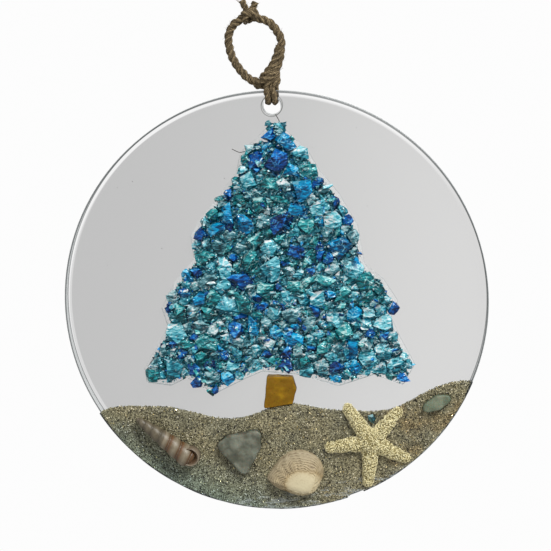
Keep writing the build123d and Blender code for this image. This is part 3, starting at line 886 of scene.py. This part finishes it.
def build_glass_ground(rng):
    """A rough crust of crushed glass right over the resin, that shows between the chips."""
    outline = resin_outline(-CRUST_INSET)
    low, high = outline.min(axis=0), outline.max(axis=0)
    columns, rows = (int(size / CRUST_PITCH) + 2 for size in high - low)
    points, known, faces = [], {}, []

    def corner(column, row):
        if (column, row) not in known:
            known[column, row] = len(points)
            x, z = low + (np.array((column, row)) + rng.uniform(-0.4, 0.4, 2)) * CRUST_PITCH
            points.append((x, RESIN_Y - rng.uniform(0.05, 0.75) * MM, z))
        return known[column, row]

    for row in range(rows):
        for column in range(columns):
            x, z = low + np.array((column + 0.5, row + 0.5)) * CRUST_PITCH
            if not inside(x, z, outline):
                continue
            a, b = corner(column, row), corner(column + 1, row)
            c, d = corner(column + 1, row + 1), corner(column, row + 1)
            faces += [(a, b, c), (a, c, d)] if rng.random() < 0.5 else [(a, b, d), (b, c, d)]
    shades, facets = rng.uniform(0, 0.8, len(points)), rng.uniform(0, 1, len(faces))
    crust = add_mesh("glass_crust", points, faces, CRUST, shade=shades, facet=facets)
    finish_piece(crust)


def resin_outline(grow):
    """The outline of the tree's resin film, from its CAD mesh: points (x, z) in order."""
    points = np.vstack(loose_parts("tree_resin"))
    front = points[points[:, 1] < RESIN_Y + 0.05 * MM][:, (0, 2)]
    return grow_outline(order_outline(front), grow)


def order_outline(points):
    """Boundary points of a tier-shaped outline, walked round from nearest to nearest."""
    left = [tuple(p) for p in points]
    walk = [max(left, key=lambda p: p[1])]
    left.remove(walk[0])
    while left:
        nearest = min(left, key=lambda p: math.dist(p, walk[-1]))
        left.remove(nearest)
        walk.append(nearest)
    return np.array(walk)


def grow_outline(outline, grow):
    """Each point moved outwards by grow, square to the line between its neighbours."""
    along = np.roll(outline, -1, axis=0) - np.roll(outline, 1, axis=0)
    out = np.column_stack((along[:, 1], -along[:, 0]))
    out /= np.linalg.norm(out, axis=1)[:, None] + 1e-12
    x, z = outline.T
    area = np.sum(x * np.roll(z, -1) - np.roll(x, -1) * z)
    return outline + out * grow * (1 if area > 0 else -1)


def inside(x, z, outline):
    """Is the point inside the closed outline?"""
    a, b = outline, np.roll(outline, -1, axis=0)
    crosses = (a[:, 1] > z) != (b[:, 1] > z)
    rise = np.where(crosses, b[:, 1] - a[:, 1], 1)
    at = a[:, 0] + (z - a[:, 1]) / rise * (b[:, 0] - a[:, 0])
    return bool(np.count_nonzero(crosses & (x < at)) % 2)


def dress_resin():
    """The CAD films get rounded edges and the look of cast resin."""
    for node, width in (("tree_resin", 0.45 * MM), ("sand_film", 0.15 * MM)):
        film = NODES[node]
        film.data.materials.clear()
        film.data.materials.append(RESIN)
        round_edges(film, width, 3, 30)


def build_trunk():
    material = sea_glass_material("amber", (0.19, 0.095, 0.002), (0.35, 0.195, 0.003), 0.5, 0.9)
    trunk = rebuilt_copy("trunk_glass", "sea_glass_trunk", 0.14 * MM, 4, material)
    roughen(trunk, 1.6 * MM, 0.16 * MM)
    finish_piece(trunk, "trunk_glass")


# --- Sand ---


GRAIN_TRIES = 24000
GRAIN_SIZES = (0.13 * MM, 0.27 * MM)
GRAIN_FROM_RIM = 0.6 * MM


def build_sand(rng):
    """A bed that follows the CAD outline, with a layer of separate grains pressed into it."""
    bed = rebuilt_copy("sand_bed", "sand_ground", 0.35 * MM, 2, SAND)
    shade_all(bed, -1)
    finish_piece(bed, "sand_bed")
    heap = Heap(rng)
    shapes = crumb_shapes(rng, 30, sharp=False)
    front = [v.co.copy() for v in bed.data.vertices if v.normal.y < 0.3]
    for _ in range(GRAIN_TRIES):
        spot = front[rng.integers(len(front))]
        points, faces = shapes[rng.integers(len(shapes))]
        size = rng.uniform(*GRAIN_SIZES)
        x = spot.x + rng.uniform(-0.18, 0.18) * MM
        z = spot.z + rng.uniform(-0.18, 0.18) * MM
        if math.hypot(x - DISC_CENTRE.x, z - DISC_CENTRE.z) > DISC_RADIUS - GRAIN_FROM_RIM:
            continue
        y = spot.y - rng.uniform(-0.1, 0.2) * MM
        heap.add((points * size) @ random_turn(rng) + (x, y, z), faces, rng.beta(1.0, 1.25))
    finish_piece(heap.build("sand_grains", SAND))


NICK_ANGLE = math.radians(-68)


def build_sand_coat():
    """The resin's edge round the sand: a bead that follows the rim."""
    corners = np.vstack(loose_parts("sand_bed")) - np.array(DISC_CENTRE)
    reach = np.hypot(corners[:, 0], corners[:, 2])
    on_rim = corners[reach > reach.max() - 0.1 * MM]
    angles = np.arctan2(on_rim[:, 2], on_rim[:, 0])
    angles = np.where(angles > math.pi / 2, angles - math.tau, angles)
    start, end = angles.min(), angles.max()
    # The widest step between neighbours on the rim is the nick, which stays open.
    ordered = np.sort(angles)
    near_nick = np.abs(ordered[1:] - NICK_ANGLE) < 0.2
    gap = np.argmax(np.where(near_nick, np.diff(ordered), 0))
    steps, sides = 90, 8
    width, depth = 0.5 * MM, (FACE_Y - SAND_Y) / 2
    points, faces = [], []
    for first, last in ((start, ordered[gap]), (ordered[gap + 1], end)):
        faces += [tuple(i + len(points) for i in face) for face in grid_faces(steps, sides, caps=True)]
        for share, turn in around(steps, sides):
            angle = first + (last - first) * share
            out = Vector((math.cos(angle), 0, math.sin(angle)))
            lump = 1 + 0.35 * noise.noise(out * 9)
            middle = DISC_CENTRE + out * (DISC_RADIUS - width)
            middle.y = FACE_Y - depth
            spot = middle + out * (0.95 * width * math.cos(turn))
            points.append(spot + Vector((0, -depth * lump * 0.98 * math.sin(turn), 0)))
    coat = add_mesh("sand_edge_resin", points, faces, coat_material(), True)
    finish_piece(coat)


# --- Starfish ---


def surface_spots(obj, count, rng):
    """Random (place, normal) pairs spread evenly over an object's surface."""
    mesh = obj.data
    mesh.calc_loop_triangles()
    triangles = mesh.loop_triangles
    areas = np.array([t.area for t in triangles])
    chosen = rng.choice(len(triangles), size=count, p=areas / areas.sum())
    spots = []
    for index in chosen:
        a, b, c = (mesh.vertices[i] for i in triangles[index].vertices)
        u, v = sorted(rng.uniform(0, 1, 2))
        spots.append((a.co * u + b.co * (v - u) + c.co * (1 - v), triangles[index].normal.copy()))
    return spots


GRANULE_COUNT = 6000
GRANULE_SIZES = (0.12 * MM, 0.25 * MM)


def build_starfish(rng):
    """Skin rebuilt from the CAD body, and granules set all over it."""
    material = starfish_material()
    skin = rebuilt_copy("starfish", "starfish_skin", 0.22 * MM, 6, material)
    roughen(skin, 1.3 * MM, 0.25 * MM)
    # The skin's low shade paints it dark, as the shade in the gaps between the granules.
    shade_all(skin, 0.3)
    finish_piece(skin, "starfish")
    heap = Heap(rng)
    shapes = crumb_shapes(rng, 16, sharp=False)
    for place, normal in surface_spots(skin, GRANULE_COUNT, rng):
        if normal.y > 0.5:
            continue
        points, faces = shapes[rng.integers(len(shapes))]
        size = rng.uniform(*GRANULE_SIZES)
        spot = np.array(place + normal * 0.12 * MM)
        heap.add((points * size) @ random_turn(rng) + spot, faces, rng.uniform(0.45, 1.0))
    finish_piece(heap.build("starfish_granules", material, smooth=True))


# --- Clam ---


def clam_margin(middle):
    """Directions and distances of the shell's edge, from its CAD outline on the sand."""
    points = np.vstack(loose_parts("clam_shell")) - np.array(middle)
    low = points[points[:, 1] > points[:, 1].max() - 0.1 * MM]
    angles = np.arctan2(low[:, 2], low[:, 0])
    reach = np.hypot(low[:, 0], low[:, 2])
    outer = reach > 0.93 * np.array([reach[np.abs(angles - a) < 0.3].max() for a in angles])
    order = np.argsort(angles[outer])
    return angles[outer][order], reach[outer][order]


# The worn patch of the clam: its half sizes as shares of the shell's, and its centre in them.
WORN_SIZE = (0.64, 0.62)
WORN_CENTRE = (0.5, -0.68)


def build_clam():
    """One valve as rings that grow from the beak, low on the right, to the margin."""
    low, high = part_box("clam_shell")
    middle, half = (low + high) / 2, (high - low) / 2
    angles, reaches = clam_margin(middle)
    beak = Vector((middle.x + 0.36 * half.x, 0, middle.z - 0.52 * half.z))
    rings, sides = 90, 150
    points, shades, grooves = [], [], []
    for share, turn in around(rings, sides):
        outer = clamp((share - 0.42) / 0.1)
        angle = turn - math.pi
        edge = np.interp(angle, angles, reaches, period=math.tau) * 0.985
        rim = Vector((middle.x + edge * math.cos(angle), 0, middle.z + edge * math.sin(angle)))
        spot = beak.lerp(rim, share**0.9)
        wobble = noise.noise(Vector((2.2 * math.cos(angle), 2.2 * math.sin(angle), 2 * share)))
        broken = noise.noise(Vector((6 * math.cos(angle), 6 * math.sin(angle), 5 * share)))
        line = math.sin((share * 15 + 1.3 * wobble + 0.35 * broken) * math.tau) + 1.1 * broken
        fine = math.sin((share * 38 + 2 * wobble) * math.tau)
        dome = (1 - share**2.3) ** 0.6
        step = outer * (line * 0.1 + fine * 0.035) * MM * min(1, dome * 3)
        height = 2 * half.y * 0.93 * dome + step + 0.1 * MM * broken * dome * outer
        points.append((spot.x, high.y - max(0, height), spot.z))
        worn = math.hypot(
            (spot.x - middle.x) / half.x / WORN_SIZE[0] - WORN_CENTRE[0],
            (spot.z - middle.z) / half.z / WORN_SIZE[1] - WORN_CENTRE[1],
        )
        shades.append(min(1, 0.5 * worn + 0.03 * broken))
        unworn = clamp((worn - 0.95) / 0.15)
        grooves.append(unworn * clamp(-0.9 * line - 0.25 * fine))
    faces = grid_faces(rings, sides)
    shell = add_mesh("clam_valve", points, faces, clam_material(), True, shade=shades, groove=grooves)
    finish_piece(shell, "clam_shell")


# --- Spire shell ---


def long_axis(node):
    """(apex, base centre, base radius) of a cone-like CAD node."""
    points = np.vstack(loose_parts(node))
    middle = points.mean(axis=0)
    _, _, axes = np.linalg.svd(points - middle)
    axis = axes[0] if axes[0][0] > 0 else -axes[0]
    along = (points - middle) @ axis
    apex = middle + axis * along.min()
    end = middle + axis * along.max()
    off = points - middle - np.outer(along, axis)
    centre = points[along > along.max() - 2 * MM].mean(axis=0)
    end = end + (centre - end) - axis * ((centre - end) @ axis)
    return Vector(apex), Vector(end), float(np.linalg.norm(off, axis=1).max())


AUGER_WHORLS = 7
AUGER_GROWTH = 1.4
AUGER_FULLNESS = 0.45
BODY_START = 0.9


def build_auger():
    """Whorls wound round the axis, with a seam that climbs one whorl each turn."""
    apex, end, radius = long_axis("auger_shell")
    axis = (end - apex).normalized()
    length = (end - apex).length
    side = axis.cross(Vector((0, 1, 0))).normalized()
    front = side.cross(axis).normalized()
    if front.y > 0:
        side, front = -side, -front
    rings, sides = 210, 56
    points, shades = [], []
    for share, angle in around(rings, sides):
        turn = AUGER_WHORLS * share ** (1 / AUGER_GROWTH) + angle / math.tau
        within = turn % 1
        swell = 0.86 + 0.14 * math.sin(math.pi * within) ** 0.6
        size = radius * max(share, 0.002) ** AUGER_FULLNESS * swell
        if share > BODY_START:
            closing = (share - BODY_START) / (1 - BODY_START)
            size *= 0.2 + 0.8 * math.sqrt(max(0.0, 1 - closing**2))
        spot = apex + axis * (length * share)
        spot += (side * math.cos(angle) + front * math.sin(angle)) * size
        points.append(spot)
        shades.append(within * 0.98 + (1.001 if turn > AUGER_WHORLS - 2.6 else 0))
    faces = grid_faces(rings, sides, caps=True)
    shell = add_mesh("spire_shell", points, faces, auger_material(), True, shade=shades)
    mouth = build_mouth(apex + axis * length * 0.9, axis, side, radius)
    finish_piece(shell, "auger_shell")
    finish_piece(mouth)


def build_mouth(middle, axis, side, radius):
    """The shell's opening: an oval lip that faces the front, and the hollow behind it."""
    upper = side if side.z > 0 else -side
    rings, sides = 16, 44
    middle = middle + upper * 0.24 * radius + axis * 0.2 * radius + Vector((0, -0.6 * radius, 0))
    points, shades = [], []
    for share, angle in around(rings, sides):
        # From the outside up over the lip, then down into the hollow.
        reach = 1.12 - 1.07 * share
        crest = math.sin(share / 0.3 * math.pi) if share < 0.3 else 0
        sink = math.sin(max(0, share - 0.15) / 0.85 * math.pi / 2)
        spot = middle + axis * (0.82 * radius * reach * math.cos(angle))
        spot += upper * (0.78 * radius * reach * math.sin(angle))
        outside = 0.9 * max(0, 0.13 - share) / 0.13
        spot += Vector((0, (0.45 * sink - 0.1 * crest + outside) * radius, 0))
        points.append(spot)
        inner = clamp((share - 0.16) / 0.2)
        # The hollow is darkest towards the apex, and its far wall is lit.
        lit = 0.5 + 0.5 * math.cos(angle)
        shadow = inner * (0.75 - 0.5 * lit * (1 - share))
        shades.append(0.8 - shadow - 0.3 * (1 - lit) * (1 - inner))
    faces = grid_faces(rings, sides, caps=True)
    return add_mesh("spire_shell_mouth", points, faces, mouth_material(), True, shade=shades)


# --- Frosted glass ---


def build_frosted_glass():
    grey = sea_glass_material("frosted_grey", (0.085, 0.088, 0.064), (0.19, 0.2, 0.155), 0.3, 0.1)
    green = sea_glass_material("frosted_green", (0.11, 0.135, 0.09), (0.22, 0.245, 0.17), 0.4, 0.1)
    for node, name, material in (
        ("frosted_glass_left", "frosted_wedge", grey),
        ("frosted_glass_right", "frosted_pebble", green),
    ):
        piece = rebuilt_copy(node, name, 0.16 * MM, 14, material)
        roughen(piece, 2.2 * MM, 0.3 * MM)
        finish_piece(piece, node)
    rng = np.random.default_rng(5)
    crumb = Heap(rng)
    for part in loose_parts("teal_crumb"):
        crumb.add(*shard(rng, part), 0.1)
    piece = crumb.build("teal_crumb_shard", GLASS_MATERIALS["clear"])
    finish_piece(piece, "teal_crumb")


# --- Twine ---


def smooth_path(corners, step):
    """A Catmull-Rom curve through the corners, as points about one step apart."""
    corners = [Vector(c) for c in corners]
    padded = [2 * corners[0] - corners[1]] + corners + [2 * corners[-1] - corners[-2]]
    path = []
    for a, b, c, d in zip(padded, padded[1:], padded[2:], padded[3:]):
        count = max(2, round((c - b).length / step))
        for i in range(count):
            t = i / count
            square, cube = (2 * a - 5 * b + 4 * c - d) * t**2, (3 * b - a - 3 * c + d) * t**3
            path.append(0.5 * (2 * b + (c - a) * t + square + cube))
    path.append(corners[-1])
    return path


def ring_points(place, side, other, count, radius):
    """Points on a circle round a place, in the plane of side and other."""
    turns = (math.tau * k / count for k in range(count))
    return [place + (side * math.cos(t) + other * math.sin(t)) * radius for t in turns]


def rope_frames(path):
    """(place, direction, side, other side) along a path, without sudden twists."""
    side = None
    frames = []
    for i, place in enumerate(path):
        direction = (path[min(i + 1, len(path) - 1)] - path[max(i - 1, 0)]).normalized()
        if side is None:
            side = direction.orthogonal().normalized()
        side = (side - direction * side.dot(direction)).normalized()
        frames.append((place, direction, side, direction.cross(side)))
    return frames


def twist_rope(heap, corners, radius, rng, pitch=5.2 * MM, plies=3):
    """Three plies wound round a path, each a ridged bundle of fibres, added to a heap."""
    frames = rope_frames(smooth_path(corners, 0.18 * MM))
    sides = 12
    start = rng.uniform(0, math.tau)
    for ply in range(plies):
        points, shades, travelled = [], [], 0
        for i, (place, _, side, other) in enumerate(frames):
            if i:
                travelled += (place - frames[i - 1][0]).length
            turn = start + math.tau * (ply / plies + travelled / pitch)
            swell = 1 + 0.1 * noise.noise(Vector((travelled / (1.3 * MM), ply, start)))
            centre = place + (side * math.cos(turn) + other * math.sin(turn)) * radius * 0.46 * swell
            for column in range(sides):
                angle = math.tau * column / sides + turn
                ridge = 1 + 0.1 * math.sin(column * math.tau / 3 + travelled / (0.35 * MM))
                out = side * math.cos(angle) + other * math.sin(angle)
                points.append(tuple(centre + out * radius * 0.56 * ridge * swell))
                shades.append(0.5 + 0.28 * math.sin(column * 2.4 + ply) + 0.15 * rng.normal())
        heap.append((points, grid_faces(len(frames) - 1, sides, caps=True), shades))


def add_fuzz(heap, corners, radius, count, rng):
    """Loose fibres that stand out of the twine."""
    frames = rope_frames(smooth_path(corners, 0.3 * MM))
    for _ in range(count):
        place, direction, side, other = frames[rng.integers(len(frames))]
        angle, length = rng.uniform(0, math.tau), rng.uniform(0.5, 1.7) * MM
        out = side * math.cos(angle) + other * math.sin(angle)
        along = direction * rng.choice((-1, 1))
        curl = out.cross(direction) * rng.uniform(-0.5, 0.5)
        thick = rng.uniform(0.018, 0.035) * MM
        points = []
        for i in range(6):
            t = i / 5
            spot = place + out * (0.8 * radius + 0.45 * length * t)
            spot += along * length * t * (1 - 0.4 * t) + curl * length * t * t
            points += ring_points(spot, out, curl.normalized(), 3, thick)
        heap.append((points, grid_faces(5, 3), [0.75] * len(points)))


def add_strand(heap, corners, radius, fibres, rng):
    """A strand of twine with its loose fibres."""
    twist_rope(heap, corners, radius, rng)
    add_fuzz(heap, corners, radius, fibres, rng)


def rope_piece(name, heap, material):
    """One object from the strands gathered in a heap."""
    points, faces, shades = [], [], []
    for part_points, part_faces, part_shades in heap:
        faces += [tuple(i + len(points) for i in face) for face in part_faces]
        points += part_points
        shades += part_shades
    return add_mesh(name, points, faces, material, True, shade=shades)


def near_knot(*offsets):
    """Points at offsets in millimetres from the joints' place in the knot on the rim."""
    return [KNOT + Vector(offset) * MM for offset in offsets]


def build_strands(jute, rng):
    """Two strands: up the front from the hole, over the rim into the knot, and down the back."""
    low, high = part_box("hitch_turn")
    thick = 0.75 * MM
    front_y, back_y, hole_z = low.y + thick, high.y - thick, low.z + thick
    spread = (high.x - low.x) / 2 - thick
    heap = []
    for x in (-spread, spread):
        corners = [
            (KNOT.x + 0.7 * x - 0.5 * MM, KNOT.y - 0.9 * MM, KNOT.z - 0.9 * MM),
            (KNOT.x + 0.8 * x - 0.4 * MM, front_y + 0.4 * MM, KNOT.z - 1.5 * MM),
            (KNOT.x + x - 0.2 * MM, front_y, KNOT.z - 2.4 * MM),
            (KNOT.x + x, front_y, hole_z + 1.1 * MM),
            (KNOT.x + x, front_y + 0.5 * MM, hole_z + 0.15 * MM),
            (KNOT.x + x, (front_y + back_y) / 2, hole_z + 0.05 * MM),
            (KNOT.x + x, back_y - 0.5 * MM, hole_z + 0.15 * MM),
            (KNOT.x + x, back_y, hole_z + 1.1 * MM),
            (KNOT.x + x, back_y, KNOT.z - 2.4 * MM),
            (KNOT.x + 0.9 * x, back_y - 0.4 * MM, KNOT.z - 1.5 * MM),
            (KNOT.x + 0.7 * x, KNOT.y + 0.9 * MM, KNOT.z - 0.9 * MM),
        ]
        twist_rope(heap, corners, thick, rng, pitch=4.2 * MM)
        add_fuzz(heap, corners[:4], thick, 10, rng)
    strands = rope_piece("twine_turn", heap, jute)
    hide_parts("hitch_turn")
    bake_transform(strands)


def build_rim_knot(jute, rng):
    """The knot on the rim: a strand that crosses in front, one behind, and a wrap under them."""
    wraps = [
        near_knot(
            (-3.9, 0.2, -0.7), (-2.9, -1.1, -0.2), (-1.6, -1.9, 0.5),
            (-0.2, -1.9, 1.2), (0.7, -1.2, 2.2), (1.0, -0.3, 3.3),
        ),
        near_knot(
            (-3.6, 0.4, -1.0), (-2.2, -0.2, -1.0), (-0.6, 0.3, -1.0),
            (0.9, 0.5, -0.6), (1.3, 0.3, 0.6), (1.0, 0.1, 2.4),
        ),
        near_knot(
            (-2.6, 1.2, -0.2), (-1.2, 1.9, 0.3), (0.4, 1.8, 0.8), (1.2, 0.9, 1.5), (1.1, 0.2, 2.8)
        ),
        near_knot((-1.0, -1.5, -1.3), (-0.6, -1.8, 0.0), (0.3, -1.3, 1.1), (0.8, -0.6, 2.2)),
        near_knot((0.9, -1.5, -1.3), (0.9, -1.7, -0.2), (1.1, -1.2, 1.0), (1.2, -0.5, 2.4)),
    ]
    heap = []
    for corners in wraps:
        add_strand(heap, corners, 0.85 * MM, 12, rng)
    finish_piece(rope_piece("twine_knot", heap, jute), "hitch_knot", "knot")


def build_loop(jute, rng):
    """The loop: the left leg leans out before it rises, the right leg stands almost straight,
    and a second strand lies against its foot."""
    low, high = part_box("twine_loop")
    thick = (high.y - low.y) / 2
    left = near_knot(
        (-2.6, 0, -0.3), (-5.4, 0, 0.7), (-7.8, 0, 3.4), (-9.4, 0, 6.6), (-9.9, 0, 10.2)
    )
    left += [
        (low.x + thick + 2.4 * MM, KNOT.y, TOP_KNOT.z - 1.9 * MM),
        (TOP_KNOT.x - 0.6 * MM, KNOT.y, TOP_KNOT.z - 0.2 * MM),
    ]
    right = [
        (TOP_KNOT.x + 0.6 * MM, KNOT.y, TOP_KNOT.z - 0.2 * MM),
        (high.x - thick - 1.7 * MM, KNOT.y, TOP_KNOT.z - 1.6 * MM),
    ]
    right += near_knot((2.2, 0, 10.2), (2.2, 0, 6.4), (1.5, 0, 3.6), (0.8, 0, 1.7))
    beside_right = near_knot(
        (-2.3, -0.7, 0.6), (-1.0, -1.0, 1.9), (0.4, -0.8, 3.7), (1.3, -0.3, 5.8), (2.0, 0, 8.2)
    )
    heap = []
    for corners in (left, right, beside_right):
        add_strand(heap, corners, thick, 45, rng)
    finish_piece(rope_piece("hanging_loop", heap, jute), "twine_loop", "hanger")


def build_top_knot(jute, rng):
    """The overhand knot that closes the loop."""
    turns = [
        [(-1.9, 0.3, -0.4), (-0.9, -1.2, 0.6), (0.7, -1.4, 0.5),
         (1.7, -0.2, -0.3), (0.8, 1.2, -0.5), (-0.8, 1.2, 0.3)],
        [(1.6, 0.5, 0.6), (0.4, -0.9, 1.2), (-1.0, -1.1, -0.6),
         (-0.7, 0.5, -1.2), (0.9, 1.0, 0.1), (0.6, 0.6, 1.1)],
    ]
    heap = []
    for offsets in turns:
        corners = [TOP_KNOT + Vector(offset) * MM for offset in offsets]
        add_strand(heap, corners, 0.85 * MM, 12, rng)
    finish_piece(rope_piece("twine_top_knot", heap, jute), "loop_knot", "hanger")


def build_cut_ends(jute, rng):
    """The two short tails of the overhand knot."""
    low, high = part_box("twine_tails")
    heap = []
    for x, reach in ((low.x + 0.8 * MM, 1.0), (high.x - 0.8 * MM, 0.88)):
        tip = Vector((x, KNOT.y, TOP_KNOT.z + (high.z - TOP_KNOT.z - 0.5 * MM) * reach))
        start = TOP_KNOT + Vector((0.2 * (x - TOP_KNOT.x), 0, 0.6 * MM))
        middle = TOP_KNOT * 0.45 + tip * 0.55
        twist_rope(heap, [start, middle, tip], 0.8 * MM, rng, pitch=4 * MM)
        add_fuzz(heap, [middle, tip], 0.8 * MM, 22, rng)
    finish_piece(rope_piece("twine_cut_ends", heap, jute), "twine_tails", "hanger")


def build_twine(rng):
    """The hanging twine, from the hole in the disc to its cut ends."""
    jute = jute_material()
    build_strands(jute, rng)
    build_rim_knot(jute, rng)
    build_loop(jute, rng)
    build_top_knot(jute, rng)
    build_cut_ends(jute, rng)


# --- Stage, light and camera ---


BOWL_RADIUS = 1.6
FLOOR_DEPTH = 0.35


def build_stage():
    """A pale bowl all round, with a flat floor far below the ornament. The camera sees it
    brighter than it lights the ornament."""
    s = Surface("backdrop")
    bright, soft = (
        s.add("ShaderNodeEmission", {"Color": (1, 1, 1, 1), "Strength": strength}).outputs["Emission"]
        for strength in (0.98, 0.5)
    )
    seen = s.add("ShaderNodeLightPath").outputs["Is Camera Ray"]
    material = s.done(s.blend_shaders(seen, soft, bright))
    rings, sides = 24, 48
    points = []
    for share, angle in around(rings, sides):
        tilt = math.pi * share * 0.98 + 0.01
        height = max(-FLOOR_DEPTH, BOWL_RADIUS * math.cos(tilt))
        reach = BOWL_RADIUS * math.sin(tilt)
        points.append((reach * math.cos(angle), reach * math.sin(angle), height))
    bowl = add_mesh("backdrop_bowl", points, grid_faces(rings, sides, caps=True), material, True)


def add_light(name, offset, size, power):
    """A round soft lamp at an offset from the disc, aimed at it."""
    lamp = bpy.data.lights.new(name, "AREA")
    lamp.shape = "DISK"
    lamp.size = size
    lamp.energy = power
    obj = bpy.data.objects.new(name, lamp)
    obj.location = DISC_CENTRE + Vector(offset)
    obj.rotation_euler = (-Vector(offset)).to_track_quat("-Z", "Y").to_euler()
    bpy.context.scene.collection.objects.link(obj)


def light_scene():
    """A soft key from the upper right, a weak fill from the left, and one from behind."""
    add_light("key", (0.45, -0.6, 0.75), 0.2, 11)
    add_light("fill", (-0.8, -0.8, 0.1), 0.8, 1.5)
    add_light("back", (0.3, 0.9, 0.5), 0.8, 7)


CAMERA_ELEVATION = math.radians(11)
CAMERA_AZIMUTH = math.radians(4)
CAMERA_ROLL = math.radians(1.02)
CAMERA_DISTANCE = 0.42
DISC_SHARE = 0.7686  # the disc's width as a share of the picture's
DISC_DROP = 0.0494  # how far its centre is below the picture's, as a share of the picture


def add_camera():
    """A camera in front of the disc, a little above and to the right, slightly rolled."""
    centre = (DISC_LOW + DISC_HIGH) / 2
    width = 2 * DISC_RADIUS / DISC_SHARE
    level = math.cos(CAMERA_ELEVATION)
    east, north = math.sin(CAMERA_AZIMUTH), math.cos(CAMERA_AZIMUTH)
    away = Vector((east * level, -north * level, math.sin(CAMERA_ELEVATION)))
    turn = away.to_track_quat("Z", "Y").to_matrix().to_4x4() @ Matrix.Rotation(-CAMERA_ROLL, 4, "Z")
    up = turn.col[1].to_3d()
    lens = bpy.data.cameras.new("camera")
    lens.angle = 2 * math.atan(width / 2 / CAMERA_DISTANCE)
    lens.clip_start = 0.01
    camera = bpy.data.objects.new("camera", lens)
    place = centre + away * CAMERA_DISTANCE + up * width * DISC_DROP
    camera.matrix_world = Matrix.Translation(place) @ turn
    bpy.context.scene.collection.objects.link(camera)
    bpy.context.scene.camera = camera


def set_render_quality():
    """Light paths long enough for stacked glass, and plain colour management."""
    scene = bpy.context.scene
    scene.cycles.max_bounces = 14
    scene.cycles.transmission_bounces = 12
    scene.cycles.transparent_max_bounces = 24
    scene.cycles.caustics_refractive = False
    scene.cycles.caustics_reflective = False
    scene.cycles.sample_clamp_indirect = 4
    scene.cycles.use_denoising = True
    scene.view_settings.view_transform = "Standard"


GLASS_MATERIALS = {
    colour: chip_material(colour + "_glass", stops, clearness)
    for colour, (stops, clearness) in GLASS.items()
}
CRUST = crust_material()
RESIN = resin_material()
SAND = sand_material()

dress_disc()
dress_resin()
build_specks(np.random.default_rng(1))
build_resin_thread()
build_chips(np.random.default_rng(2))
build_fine_grit(np.random.default_rng(3))
build_glass_ground(np.random.default_rng(8))
build_trunk()
build_sand(np.random.default_rng(4))
build_sand_coat()
build_frosted_glass()
build_starfish(np.random.default_rng(6))
build_clam()
build_auger()
build_twine(np.random.default_rng(7))
build_stage()
light_scene()
add_camera()
set_render_quality()
